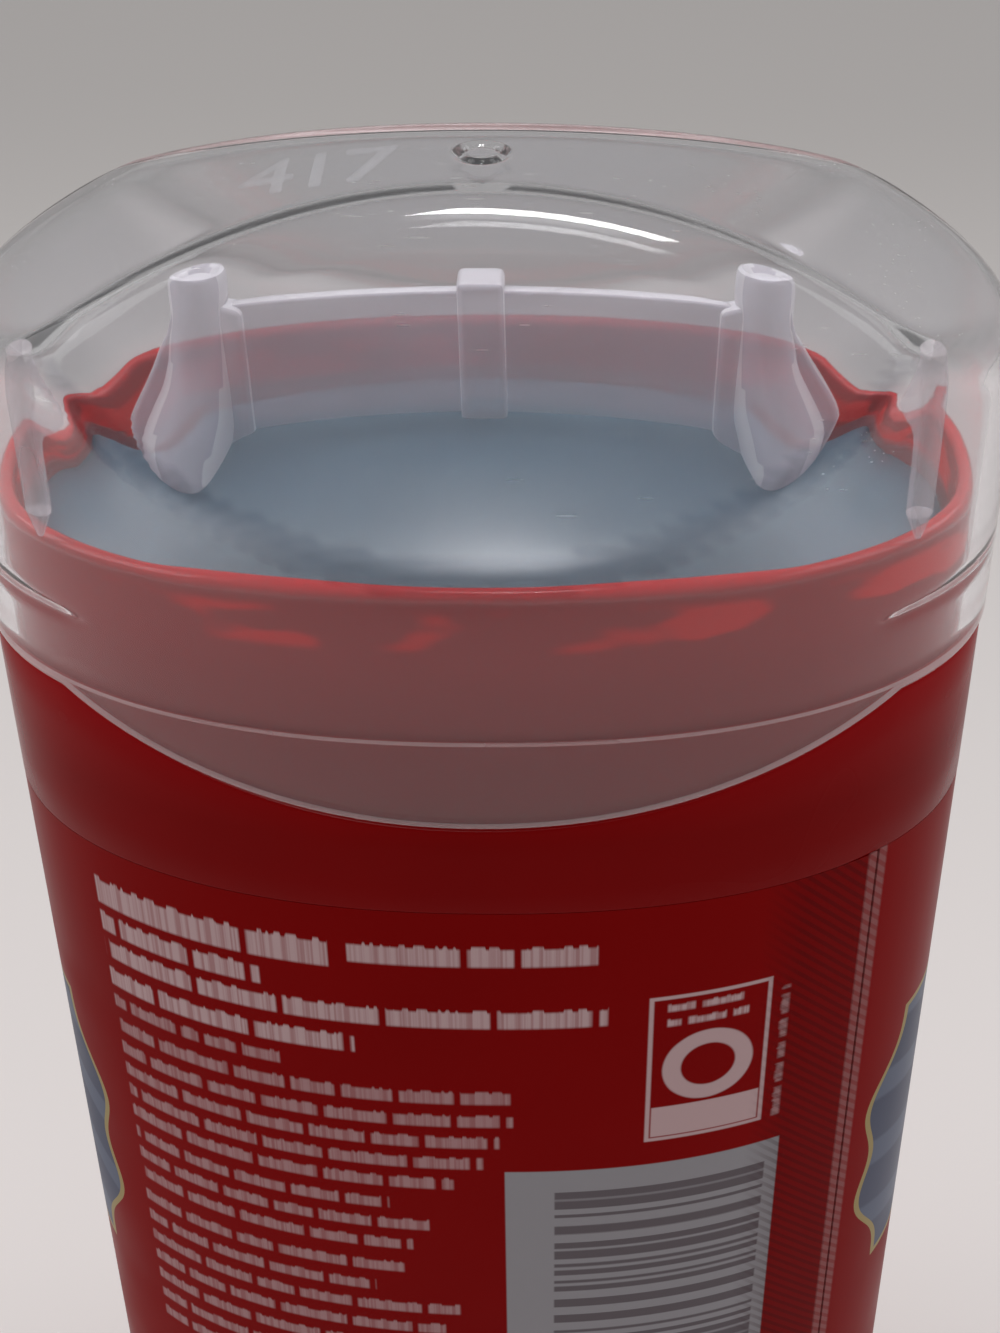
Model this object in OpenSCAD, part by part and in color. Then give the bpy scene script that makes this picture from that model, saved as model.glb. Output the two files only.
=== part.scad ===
// Twist-up deodorant stick: an oval barrel with a clear cap, an inner seal over the stick,
// and a feed screw that raises the stick on its elevator.
// Millimetres. The origin is at the middle of the foot, +Z is up and the print's side is -Y.

/* [Barrel] */
// Width of the barrel across its long axis
body_w = 63.5; // [60:0.5:68]
// Depth of the barrel from front to back
body_d = 38; // [36:0.5:41]
// Height of the rim above the foot
rim_z = 116; // [112:1:124]
// Exponent of the oval, where 2 is an ellipse and more is squarer
oval_n = 2.2; // [2:0.05:2.5]
// How far the neck is set in from the body's side
neck_inset = 1.55; // [1.4:0.05:2]
// Wall of the neck
neck_wall = 1.1; // [0.9:0.1:1.5]
// Wall of the foot, round the base collar
foot_wall = 1.55; // [1.3:0.05:1.9]
// How far the ledge under the cap lies below the rim
ledge_drop = 10; // [8.5:0.5:12]
// How far the scalloped shoulder dips below the ledge, front and rear
scallop_dip = 5.8; // [4.5:0.1:7]
// Radius of the scallop's arc
scallop_r = 57; // [50:1:66]

/* [Cap] */
// How far the cap stands proud of the barrel
cap_proud = 0.2; // [0.1:0.05:0.4]
// Height of the cap's crown above the rim
cap_rise = 18.6; // [17.5:0.1:22]
// Radius of the crown's arch across the width
arch_r = 68; // [60:1:90]
// Radius of the crown from front to back
crown_r = 45; // [40:1:60]
// Slope of the two flat facets, in degrees from level
facet_angle = 58; // [54:0.5:62]
// Height above the rim at which a facet meets the wall at its middle
facet_low = 2.4; // [1.8:0.1:3.5]
// Thickness of the crown and the facets
crown_wall = 1.5; // [1.2:0.1:1.9]
// Wall of the scalloped flap
flap_wall = 0.85; // [0.7:0.05:1]
// Distance of the stop ribs from the middle, along the width
rib_x = 24.8; // [22:0.2:26]
// Radius of a stop rib
rib_r = 0.8; // [0.6:0.1:1]
// Height of the stop ribs
rib_h = 11.6; // [8:0.2:12]
// Radius of the moulding gate's mark on the crown
gate_r = 1.7; // [1.2:0.1:2.2]
// How far the beads inside the cap's ends stand out
cap_bead_out = 0.2; // [0.1:0.05:0.2]
// Height of the cap's beads
cap_bead_h = 0.8; // [0.6:0.1:1.2]
// How far the cap's beads lie below the rim
cap_bead_drop = 4.9; // [4:0.1:6]
// Distance from the middle at which the cap's beads begin, along the width
cap_bead_x = 24.5; // [22:0.5:28]

/* [Stick and seal] */
// Height of the stick above its elevator, at the crown
stick_h = 64; // [58:1:66]
// Height of the stick's crown above the rim
dome_rise = 1.2; // [0.6:0.1:2]
// Radius of the stick's dome across the width
dome_arch_r = 80; // [70:1:95]
// Radius of the stick's dome from front to back
dome_crown_r = 22; // [20:1:26]
// Thickness of the seal's plate
seal_t = 0.8; // [0.6:0.1:1.2]
// Height of the seal's lip at its edge
lip_h = 0.6; // [0.4:0.1:1]
// Width of the seal's grip over its flared feet
grip_w = 41; // [38:0.5:43]
// Height of the grip's posts above the rim
grip_top = 11.8; // [11:0.1:12.4]
// Radius of a post at its top
post_r = 1.8; // [1.5:0.1:2.2]
// Distance of a post's top from the middle
post_x = 17; // [16:0.2:18]
// Radius of the dimple in a post's top
dimple_r = 1.1; // [0.8:0.1:1.3]
// Depth of a post's foot, front to back
foot_d = 10.6; // [8:0.2:12]
// Distance between the inner edges of the two wings
web_w = 27.8; // [26:0.2:29]
// Thickness of the wings beside the posts
wing_t = 2; // [1.6:0.1:2.6]
// Thickness of the thin web between the wings
web_t = 0.9; // [0.8:0.1:1.2]
// Height of the web's middle above the rim
web_top = 10.1; // [9:0.1:10.8]
// Radius of the web's arched top edge
web_arch_r = 122; // [100:2:160]
// Width of the grip's middle rib
mid_rib_w = 2.8; // [2:0.1:3.4]

/* [Elevator] */
// Thickness of the elevator's platform
platform_t = 1.6; // [1.2:0.1:2]
// Height of the tray wall that holds the stick
tray_h = 3; // [2:0.2:4]
// Thickness of the tray wall and the guide skirt
tray_wall = 1; // [0.8:0.1:1.4]
// Height of the guide skirt under the platform
guide_h = 4.4; // [3:0.2:6]
// Length of the nut under the platform
nut_h = 10; // [8:0.5:12]
// Outer radius of the nut
nut_r = 8; // [7.4:0.1:9]
// Height of the posts that anchor the stick
anchor_h = 7; // [5:0.5:9]
// Radius of an anchor post
anchor_r = 1.6; // [1.2:0.1:2]

/* [Feed screw and wheel] */
// Rise of the elevator for one turn
lead = 5; // [4.6:0.1:5.6]
// Outer radius of the thread
thread_r = 4.9; // [4.6:0.1:5]
// Radius at the thread's root
root_r = 3.3; // [3:0.1:3.5]
// Width of the ridge at its root
ridge_base = 2.4; // [2:0.1:2.6]
// Width of the ridge at its crest
ridge_crest = 1.2; // [0.8:0.1:1.4]
// Radius of the journal that turns in the base collar
journal_r = 5.5; // [5.3:0.1:6]
// How far the retaining flange overhangs the journal
flange_lip = 0.6; // [0.4:0.1:1]
// How far the wheel stands proud of the barrel, front and rear
wheel_proud = 0.5; // [0.3:0.1:0.8]
// Height of the wheel's rim
wheel_h = 6.2; // [5:0.2:7]
// Height of the wheel's underside above the foot
wheel_lift = 2.6; // [2.2:0.1:4]
// Wall of the wheel's rim, over the knurls
wheel_wall = 1.8; // [1.4:0.1:2.4]
// Thickness of the wheel's closed underside
wheel_web = 1.4; // [1:0.1:2]
// Number of knurls round the wheel
knurls = 54; // [40:2:64]
// Depth of a knurl
knurl_deep = 0.55; // [0.3:0.05:0.7]
// Width of the windows that bare the wheel
window_w = 25; // [24:0.5:30]

/* [Base collar] */
// Thickness of the collar's plate
collar_t = 1.6; // [1.2:0.1:2.2]
// Height of the collar's skirt above its plate
collar_h = 4.6; // [3.6:0.2:6]
// Wall of the collar's skirt
collar_wall = 1.2; // [1:0.1:1.6]
// Wall of the bearing round the journal
bearing_wall = 2.6; // [2:0.1:3]
// Height of the bearing above the plate
bearing_h = 2; // [1.4:0.1:3]
// Height that the snap bead stands out
bead_out = 0.3; // [0.2:0.05:0.4]
// Height of the snap bead
bead_h = 1; // [0.8:0.1:1.4]

/* [Label] */
// How far the label's top edge lies below the rim
label_drop = 22.4; // [20:0.2:26]
// Height of the label's lower edge above the foot
label_low = 12; // [11:0.5:16]
// Thickness of the label film
label_t = 0.15; // [0.1:0.01:0.2]
// Distance of the label's seam from the middle, along the width
seam_x = 24.8; // [22:0.2:28]

/* [Clearances] */
// Gap between the cap and the barrel
cap_gap = 0.3; // [0.25:0.05:0.4]
// Gap between what slides in the bore and its wall
slide_gap = 0.35; // [0.3:0.05:0.5]
// Gap between the feed screw and what it passes
screw_gap = 0.4; // [0.35:0.05:0.6]
// Radial running gap of the journal
journal_gap = 0.07; // [0.03:0.01:0.09]
// Gap between pieces that are seated on each other
seat_gap = 0.1; // [0.05:0.05:0.15]
// Axial gap over and under the collar
axial_gap = 0.4; // [0.3:0.05:0.6]

/* [Hidden] */
// points on an oval outline
oval_pts = 96;
// facets of a round part and of a large crown
round_fn = 64;
crown_fn = 180;
// how far a cutter reaches past what it cuts
over = 1;

neck_w = body_w - 2 * neck_inset;
neck_d = body_d - 2 * neck_inset;
bore_w = neck_w - 2 * neck_wall;
bore_d = neck_d - 2 * neck_wall;
ledge_z = rim_z - ledge_drop;
cap_w = body_w + 2 * cap_proud;
cap_d = body_d + 2 * cap_proud;
cap_wall = cap_proud + neck_inset - cap_gap;
land_inset = flap_wall + cap_gap - cap_proud;
seat_w = body_w - 2 * foot_wall;
seat_d = body_d - 2 * foot_wall;
wheel_r = body_d / 2 + wheel_proud;
wheel_top = wheel_lift + wheel_h;
collar_z = wheel_top + axial_gap;
collar_top = collar_z + collar_t + collar_h;
bearing_top = collar_z + collar_t + bearing_h;
flange_z = bearing_top + axial_gap;
flange_h = 1.6;
slide_w = bore_w - 2 * slide_gap;
slide_d = bore_d - 2 * slide_gap;
crown_z = rim_z + dome_rise;
platform_z = crown_z - stick_h;
tray_w = slide_w - 2 * tray_wall;
tray_d = slide_d - 2 * tray_wall;
nut_z = platform_z - platform_t - nut_h;
nut_bore = thread_r + screw_gap;
// the elevator stops when its tray is just under the rim
travel = rim_z - seat_gap - (platform_z + tray_h);
// the thread begins under the nut, and the plain shank below it stops the nut
lug_h = 1.5;
lug_w = 2.8;
thread_z = nut_z - lead / 4;
thread_top = nut_z + travel + lead;
screw_top = thread_top;
thread_steps = 20;
// free length between the plain shank and the thread's first ridge
ridge_clear = 0.2;
ridge_low = thread_z + ridge_base / 2 + ridge_clear;
thread_turns = floor((thread_top - ridge_low - ridge_base / 2) / lead);
thread_count = thread_steps * thread_turns;
lead_in_steps = 4;
label_z = rim_z - label_drop;
// how deep the grip's feet reach under the dome's crown
foot_deep = 5;
// how far the middle rib stands over the web
rib_over = 0.8;
// the wings flare between these heights above the rim, and are cut off at their lower corners
flare_low = 3.3;
flare_top = 7;
wing_round = 1.6;
// how deep the dimple in a post's top is
dimple_deep = 0.5;
// a knurl rises and falls between these parts of its pitch
knurl_marks = [0, 0.22, 0.6, 0.82];
// thickness of the ribs inside the wheel and on the collar and the elevator
spoke_t = 1.2;
// where the anchor posts stand
anchor_x = slide_w / 4;
anchor_y = slide_d / 5;
// depth of the gate's mark, and its nub's share of the radius
gate_deep = 0.3;
gate_nub = 0.55;
// width of the slit at the label's seam
seam_gap = 0.4;

// outline of an oval, as a superellipse
function oval(w, d) = [for (i = [0 : oval_pts - 1])
    let (t = 360 * i / oval_pts, c = cos(t), s = sin(t))
    [w / 2 * sign(c) * pow(abs(c), 2 / oval_n), d / 2 * sign(s) * pow(abs(s), 2 / oval_n)]];

// half depth of an oval at a distance x from its middle
function oval_y(x, w, d) = d / 2 * pow(1 - pow(abs(x) / (w / 2), oval_n), 1 / oval_n);

// outline of the knurled wheel
function knurl_ring(n, r, deep) = [for (i = [0 : n - 1], k = [0 : 3])
    let (a = 360 * (i + knurl_marks[k]) / n) (r - (k % 3 == 0 ? deep : 0)) * [cos(a), sin(a)]];

module prism(w, d, z0, z1) {
    translate([0, 0, z0]) linear_extrude(z1 - z0) polygon(oval(w, d));
}

// ring between an oval and the same oval set in by a wall
module oval_ring(w, d, wall, z0, z1) {
    difference() {
        prism(w, d, z0, z1);
        prism(w - 2 * wall, d - 2 * wall, z0 - over, z1 + over);
    }
}

// solid under a crown that is arched across the width and from front to back
module crown(top_z, rx, ry) {
    translate([0, 0, top_z - ry]) rotate([0, 90, 0]) rotate_extrude($fn = crown_fn) intersection() {
        translate([ry - rx, 0]) circle(rx, $fn = crown_fn);
        translate([0, -body_w]) square([ry, 2 * body_w]);
    }
}

// the part of the wall that the flaps take, below the ledge and above the scallop's arc
module scallop(gap) {
    rotate([90, 0, 0]) linear_extrude(2 * body_d, center = true) intersection() {
        translate([0, ledge_z - scallop_dip + scallop_r + gap]) circle(scallop_r, $fn = crown_fn);
        translate([-body_w, ledge_z - 2 * scallop_dip]) square([2 * body_w, 2 * scallop_dip + gap + over]);
    }
}

module barrel() {
    color("darkred") difference() {
        union() {
            difference() {
                prism(body_w, body_d, 0, ledge_z);
                scallop(0);
                oval_ring(body_w + over, body_d + over, over / 2 + label_t + seat_gap / 2,
                          label_low - seat_gap, label_z + seat_gap);
            }
            prism(body_w - 2 * land_inset, body_d - 2 * land_inset, label_z, ledge_z);
            prism(neck_w, neck_d, ledge_z - over, rim_z);
        }
        prism(bore_w, bore_d, -over, rim_z + over);
        prism(seat_w, seat_d, -over, collar_top + seat_gap);
        prism(seat_w + 2 * bead_out, seat_d + 2 * bead_out, bead_z() - seat_gap, bead_z() + bead_h + seat_gap);
        translate([-window_w / 2, -body_d, wheel_lift - axial_gap])
            cube([window_w, 2 * body_d, wheel_h + 2 * axial_gap]);
    }
}

// height of the snap bead that holds the collar
function bead_z() = collar_top - collar_h / 2;

module base_collar() {
    w = seat_w - 2 * seat_gap;
    d = seat_d - 2 * seat_gap;
    color("firebrick") difference() {
        union() {
            prism(w, d, collar_z, collar_z + collar_t);
            oval_ring(w, d, collar_wall, collar_z, collar_top);
            oval_ring(w + 2 * bead_out - seat_gap, d + 2 * bead_out - seat_gap, collar_wall,
                      bead_z(), bead_z() + bead_h);
            cylinder_between(journal_r + journal_gap + bearing_wall, collar_z, bearing_top);
            spokes(8, w - 2 * collar_wall, d - 2 * collar_wall, collar_z + collar_t, bearing_top - over);
        }
        cylinder_between(journal_r + journal_gap, collar_z - over, bearing_top + over);
    }
}

module cylinder_between(r, z0, z1) {
    translate([0, 0, z0]) cylinder(h = z1 - z0, r = r, $fn = round_fn);
}

// thin ribs from the middle out to an oval wall
module spokes(n, w, d, z0, z1) {
    intersection() {
        prism(w + over, d + over, z0, z1);
        for (i = [0 : n / 2 - 1])
            rotate(180 * (i + 0.5) / (n / 2)) translate([-body_w, -spoke_t / 2, z0])
                cube([2 * body_w, spoke_t, z1 - z0]);
    }
}

module feed_screw() {
    color("white") {
        wheel();
        rotate_extrude($fn = round_fn) polygon([
            [0, wheel_lift], [journal_r, wheel_lift], [journal_r, flange_z], [journal_r + flange_lip, flange_z],
            [thread_r + flange_lip / 2, flange_z + flange_h], [thread_r, flange_z + flange_h],
            [thread_r, thread_z], [0, thread_z]]);
        threaded_rod();
    }
}

// the hand wheel: a knurled cup, open upwards, with ribs to its hub
module wheel() {
    inner_r = wheel_r - knurl_deep - wheel_wall;
    translate([0, 0, wheel_lift]) difference() {
        linear_extrude(wheel_h) polygon(knurl_ring(knurls, wheel_r, knurl_deep));
        translate([0, 0, wheel_web]) cylinder(h = wheel_h, r = inner_r, $fn = round_fn);
    }
    translate([0, 0, wheel_lift]) intersection() {
        cylinder(h = wheel_h - over, r = inner_r + over / 2, $fn = round_fn);
        for (i = [0 : 2]) rotate(60 * i) translate([-wheel_r, -spoke_t / 2, 0])
            cube([2 * wheel_r, spoke_t, wheel_h]);
    }
}

// height of the ridge's middle at a step of the helix, and its radius there
function ridge_z(i) = ridge_low + lead * i / thread_steps;
function ridge_r(i) = root_r + (thread_r - root_r)
    * min(1, (0.5 + i) / lead_in_steps, (0.5 + thread_count - i) / lead_in_steps);

// the four corners of the ridge at a step: root, crest, crest, root
function ridge_pts(i) = let (a = 360 * i / thread_steps, r = ridge_r(i), z = ridge_z(i))
    [for (p = [[root_r, -ridge_base], [r, -ridge_crest], [r, ridge_crest], [root_r, ridge_base]])
        [p[0] * cos(a), p[0] * sin(a), z + p[1] / 2]];

function root_ring(z) = [for (i = [0 : thread_steps - 1])
    let (a = 360 * i / thread_steps) [root_r * cos(a), root_r * sin(a), z]];

// one closed surface: a bottom ring, the helix and a top ring
module threaded_rod() {
    n = thread_steps;
    m = thread_count;
    top0 = n + 4 * (m + 1);
    points = concat(root_ring(thread_z - over), [for (i = [0 : m]) each ridge_pts(i)], root_ring(thread_top));
    flanks = [for (i = [0 : m - 1], k = [0 : 2])
        let (a = n + 4 * i + k) [a, a + 1, a + 5, a + 4]];
    roots = [for (i = [0 : m - n - 1])
        let (low = n + 4 * i + 3, high = n + 4 * (i + n)) [low, high, high + 4, low + 4]];
    below = [for (i = [0 : n - 2]) [i, n + 4 * i, n + 4 * (i + 1), i + 1]];
    edge_below = [n + 4 * (n - 1), n + 4 * n, n + 3, n, 0];
    seam_below = [for (k = [0 : 3]) [n - 1, edge_below[k], edge_below[k + 1]]];
    above = [for (i = [m - n + 1 : m - 1])
        [n + 4 * i + 3, top0 + i % n, top0 + (i + 1) % n, n + 4 * (i + 1) + 3]];
    edge_above = [n + 4 * (m - n) + 3, n + 4 * m, n + 4 * m + 3, top0 + m % n, top0 + (m + 1) % n];
    seam_above = [for (k = [0 : 3]) [n + 4 * (m - n + 1) + 3, edge_above[k], edge_above[k + 1]]];
    ends = [[n, n + 3, n + 2, n + 1], [n + 4 * m, n + 4 * m + 1, n + 4 * m + 2, n + 4 * m + 3]];
    discs = [[for (i = [0 : n - 1]) i], [for (i = [n - 1 : -1 : 0]) top0 + i]];
    polyhedron(points, concat(flanks, roots, below, seam_below, above, seam_above, ends, discs));
}

// height of the groove's middle beside the nut's foot, at an angle round the screw
function groove_z(a) = let (z = ridge_low + lead * (a / 360 + 0.5))
    z + lead * ceil((nut_z + lug_h / 2 - z) / lead);

module elevator() {
    color("whitesmoke") difference() {
        union() {
            prism(slide_w, slide_d, platform_z - platform_t, platform_z);
            oval_ring(slide_w, slide_d, tray_wall, platform_z - platform_t - guide_h, platform_z + tray_h);
            cylinder_between(nut_r, nut_z, platform_z);
            spokes(8, tray_w, tray_d, platform_z - platform_t - guide_h, platform_z - platform_t);
            anchors(anchor_r, anchor_h);
        }
        cylinder_between(nut_bore, nut_z - over, platform_z + over);
    }
    color("whitesmoke") for (a = [90, 270]) rotate(a)
        translate([root_r + screw_gap, -lug_w / 2, groove_z(a) - lug_h / 2])
            cube([nut_r - root_r - screw_gap - over, lug_w, lug_h]);
}

// posts on the platform that the stick is cast around
module anchors(r, h) {
    for (x = [-1, 1], y = [-1, 1])
        translate([x * anchor_x, y * anchor_y, platform_z - platform_t]) cylinder(h = h + platform_t, r = r, $fn = 32);
}

module deodorant_stick() {
    base_z = platform_z + seat_gap;
    axis_z = crown_z - dome_crown_r;
    color("steelblue") difference() {
        intersection() {
            union() {
                prism(tray_w - 2 * seat_gap, tray_d - 2 * seat_gap, base_z, axis_z);
                prism(slide_w, slide_d, platform_z + tray_h + seat_gap, crown_z + over);
            }
            union() {
                over_dome(0);
                translate([-body_w, -body_d, base_z - over]) cube([2 * body_w, 2 * body_d, axis_z - base_z + over]);
            }
        }
        cylinder_between(thread_r + screw_gap, base_z - over, screw_top + axial_gap);
        anchors(anchor_r + seat_gap, anchor_h + seat_gap);
    }
}

// the solid under the seal's plate, raised over the stick's dome by t
module over_dome(t) {
    crown(crown_z + t, dome_arch_r + t, dome_crown_r + t);
}

module inner_seal() {
    plate_top = seat_gap + seal_t;
    color("lightsteelblue", 0.6) difference() {
        union() {
            intersection() {
                prism(slide_w, slide_d, ledge_z - ledge_drop, rim_z + grip_top);
                over_dome(plate_top);
            }
            intersection() {
                oval_ring(slide_w, slide_d, tray_wall, ledge_z - ledge_drop, rim_z + grip_top);
                over_dome(plate_top + lip_h);
            }
            grip();
        }
        over_dome(seat_gap);
    }
}

module upright(t) {
    rotate([90, 0, 0]) linear_extrude(t, center = true) children();
}

// the seal's upright grip: a thin web with a middle rib, two wings and two buttressed posts
module grip() {
    root_z = crown_z - foot_deep;
    post_top = rim_z + grip_top;
    foot_w = grip_w / 2 - post_x + post_r;
    upright(web_t) intersection() {
        translate([-web_w / 2 - over, root_z]) square([web_w + 2 * over, post_top - root_z]);
        translate([0, rim_z + web_top - web_arch_r]) circle(web_arch_r, $fn = crown_fn);
    }
    upright(mid_rib_w) translate([-mid_rib_w / 2, root_z]) square([mid_rib_w, rim_z + web_top + rib_over - root_z]);
    for (s = [-1, 1]) {
        upright(wing_t) polygon([
            [s * web_w / 2, root_z], [s * (grip_w / 2 - wing_round), root_z],
            [s * grip_w / 2, root_z + wing_round], [s * grip_w / 2, rim_z + flare_low],
            [s * (post_x + post_r), rim_z + flare_top], [s * (post_x + post_r), post_top - over],
            [s * web_w / 2, rim_z + web_top - over]]);
        difference() {
            hull() {
                translate([s * post_x, 0, rim_z + flare_top]) cylinder(h = grip_top - flare_top, r = post_r, $fn = 32);
                translate([s * (grip_w / 2 - foot_w / 2), 0, root_z]) linear_extrude(foot_deep - over)
                    polygon([for (a = [0 : 15 : 345]) [foot_w / 2 * cos(a), foot_d / 2 * sin(a)]]);
            }
            translate([s * post_x, 0, post_top - dimple_deep]) cylinder(h = over, r = dimple_r, $fn = 32);
        }
    }
}

// the cap's whole form, set in by a wall, from z0 up
module cap_form(wall, side, z0) {
    slope = tan(facet_angle);
    edge = rim_z + facet_low - wall / cos(facet_angle);
    top = rim_z + cap_rise + over;
    half = cap_d / 2;
    intersection() {
        prism(cap_w - 2 * side, cap_d - 2 * side, z0, top);
        crown(rim_z + cap_rise - wall, arch_r - wall, crown_r - wall);
        rotate([90, 0, 90]) linear_extrude(2 * cap_w, center = true) polygon([
            [-half - over, z0 - over], [half + over, z0 - over], [half + over, edge - over * slope],
            [half - (top - edge) / slope, top], [-half + (top - edge) / slope, top],
            [-half - over, edge - over * slope]]);
    }
}

module cap() {
    seat_z = ledge_z + cap_gap;
    low_z = seat_z - 2 * scallop_dip;
    color("gainsboro", 0.5) {
        difference() {
            union() {
                cap_form(0, 0, seat_z);
                intersection() {
                    cap_form(0, 0, low_z);
                    scallop(cap_gap);
                }
            }
            cap_form(crown_wall, cap_wall, low_z - over);
            prism(cap_w - 2 * flap_wall, cap_d - 2 * flap_wall, low_z - over, seat_z);
            gate_mark();
        }
        intersection() {
            cap_form(crown_wall / 2, cap_wall / 2, seat_z);
            stop_ribs();
        }
        cap_beads();
    }
}

// low beads inside the cap's two ends, which click over the neck
module cap_beads() {
    low = rim_z - cap_bead_drop - cap_bead_h / 2;
    root = cap_wall / 2;
    for (s = [-1, 1]) intersection() {
        oval_ring(cap_w - 2 * root, cap_d - 2 * root, cap_wall - root + cap_bead_out, low, low + cap_bead_h);
        translate([s * (cap_bead_x + body_w / 2), 0, low])
            cube([body_w, 2 * body_d, 4 * cap_bead_h], center = true);
    }
}

// two ribs inside the near facet's corners, with pointed feet that stop on the rim
module stop_ribs() {
    w = cap_w - 2 * cap_wall;
    d = cap_d - 2 * cap_wall;
    tip = 2 * rib_r;
    for (s = [-1, 1])
        translate([s * rib_x, -oval_y(rib_x, w, d), rim_z + cap_gap]) {
            cylinder(h = tip, r1 = rib_r / 4, r2 = rib_r, $fn = 24);
            translate([0, 0, tip]) cylinder(h = rib_h - tip, r = rib_r, $fn = 24);
        }
}

// a shallow dished ring with a nub in its middle
module gate_mark() {
    translate([0, 0, rim_z + cap_rise - gate_deep]) difference() {
        cylinder(h = over, r = gate_r, $fn = round_fn);
        translate([0, 0, -over]) cylinder(h = 3 * over, r = gate_r * gate_nub, $fn = round_fn);
    }
}

module wrap_label() {
    color("maroon") difference() {
        oval_ring(body_w, body_d, label_t, label_low, label_z);
        translate([seam_x, -body_d, label_low - over]) cube([seam_gap, body_d, label_z - label_low + 2 * over]);
    }
}

barrel();
base_collar();
feed_screw();
elevator();
deodorant_stick();
inner_seal();
cap();
wrap_label();
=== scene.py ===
import math

import bmesh
import bpy
import numpy as np
from mathutils import Matrix, Vector


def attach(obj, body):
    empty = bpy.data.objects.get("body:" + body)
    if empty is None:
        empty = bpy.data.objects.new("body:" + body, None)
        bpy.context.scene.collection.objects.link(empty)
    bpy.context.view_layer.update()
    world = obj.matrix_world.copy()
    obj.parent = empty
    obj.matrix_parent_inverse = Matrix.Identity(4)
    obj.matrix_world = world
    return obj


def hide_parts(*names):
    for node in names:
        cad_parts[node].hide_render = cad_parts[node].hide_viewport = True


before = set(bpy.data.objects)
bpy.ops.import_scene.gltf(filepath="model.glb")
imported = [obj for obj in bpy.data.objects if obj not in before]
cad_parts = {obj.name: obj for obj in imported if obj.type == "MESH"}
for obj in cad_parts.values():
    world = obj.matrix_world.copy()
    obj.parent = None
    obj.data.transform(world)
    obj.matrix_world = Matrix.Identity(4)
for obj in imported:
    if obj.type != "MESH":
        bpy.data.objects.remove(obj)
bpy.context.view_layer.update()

mm = 0.001

# sizes shared by all pieces, in millimetres, as the part's source has them
pack = {
    "width": 63.5, "depth": 38.0, "ovalPower": 2.2, "columns": 264,
    "rim": 116.0, "ledge": 106.0, "scallopDip": 5.8, "scallopRadius": 57.0,
    "labelLow": 12.0, "labelTop": 93.6, "neckInset": 1.55, "boreInset": 2.65,
    "crown": 117.2, "domeArch": 80.0, "domeCrown": 22.0,
}


def ovalAt(t, w, d):
    c, s = np.cos(t), np.sin(t)
    e = 2 / pack["ovalPower"]
    return np.stack([w / 2 * np.sign(c) * np.abs(c) ** e, d / 2 * np.sign(s) * np.abs(s) ** e], -1)


def ovalDepth(x, w, d):
    n = pack["ovalPower"]
    return d / 2 * np.maximum(1 - (np.abs(x) / (w / 2)) ** n, 0) ** (1 / n)


def outlineRun(w, d, steps=40001):
    # angles round the outline from the middle of the near side, and the way run to each
    t = np.linspace(-math.pi / 2, 1.5 * math.pi, steps)
    step = np.diff(ovalAt(t, w, d), axis=0)
    return t, np.concatenate([[0], np.cumsum(np.hypot(step[:, 0], step[:, 1]))])


outlineAngles, outlineWay = outlineRun(pack["width"], pack["depth"])
aroundLength = outlineWay[-1]
# angles of points that are evenly spaced along the outline
angles = np.interp(np.linspace(0, aroundLength, pack["columns"], endpoint=False), outlineWay, outlineAngles)


def insetOval(inset):
    return ovalAt(angles, pack["width"] - 2 * inset, pack["depth"] - 2 * inset)


def ring(inset, z):
    xy = insetOval(inset)
    return np.column_stack([xy, np.broadcast_to(z, len(xy))])


def pole(z, x=0):
    return np.array([[x, 0, z]])


def circle(count):
    # cosines and sines of evenly spaced angles
    a = np.linspace(0, 2 * math.pi, count, endpoint=False)
    return np.cos(a), np.sin(a)


def addObject(name, data):
    obj = bpy.data.objects.new(name, data)
    bpy.context.scene.collection.objects.link(obj)
    return obj


def pointsOf(mesh):
    co = np.zeros(len(mesh.vertices) * 3)
    mesh.vertices.foreach_get("co", co)
    return co.reshape(-1, 3) / mm


def makeObject(name, verts, faces, sharp=38):
    mesh = bpy.data.meshes.new(name)
    mesh.from_pydata((np.asarray(verts, float) * mm).tolist(), [], faces)
    mesh.validate()
    work = bmesh.new()
    work.from_mesh(mesh)
    bmesh.ops.remove_doubles(work, verts=work.verts, dist=1e-7)
    bmesh.ops.recalc_face_normals(work, faces=work.faces)
    work.to_mesh(mesh)
    work.free()
    mesh.shade_smooth()
    mesh.set_sharp_from_angle(angle=math.radians(sharp))
    return addObject(name, mesh)


def skinRows(rows, loop=False, wrap=True):
    # joins rows of points into quads; a row of one point is a pole
    verts, faces, starts = [], [], []
    for row in rows:
        row = np.atleast_2d(row)
        starts.append((len(verts), len(row)))
        verts.extend(row.tolist())
    pairs = list(zip(starts[:-1], starts[1:])) + ([(starts[-1], starts[0])] if loop else [])
    for (a, na), (b, nb) in pairs:
        n = max(na, nb)
        for j in range(n if wrap else n - 1):
            k = (j + 1) % n
            if na == 1:
                faces.append((a, b + j, b + k))
            elif nb == 1:
                faces.append((a + j, b, a + k))
            else:
                faces.append((a + j, b + j, b + k, a + k))
    return verts, faces


def applied(obj):
    # bakes an object's modifiers into its mesh
    graph = bpy.context.evaluated_depsgraph_get()
    graph.update()
    mesh = bpy.data.meshes.new_from_object(obj.evaluated_get(graph))
    old = obj.data
    obj.modifiers.clear()
    obj.data = mesh
    mesh.name = obj.name
    bpy.data.meshes.remove(old)
    return obj


def boolean(target, cutter, how):
    mod = target.modifiers.new("boolean", "BOOLEAN")
    mod.operation, mod.solver, mod.object = how, "EXACT", cutter
    mod.material_mode = "TRANSFER"
    applied(target)
    bpy.data.objects.remove(cutter)


def smoothStep(a, b, v):
    t = np.clip((v - a) / (b - a), 0, 1)
    return t * t * (3 - 2 * t)


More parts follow.
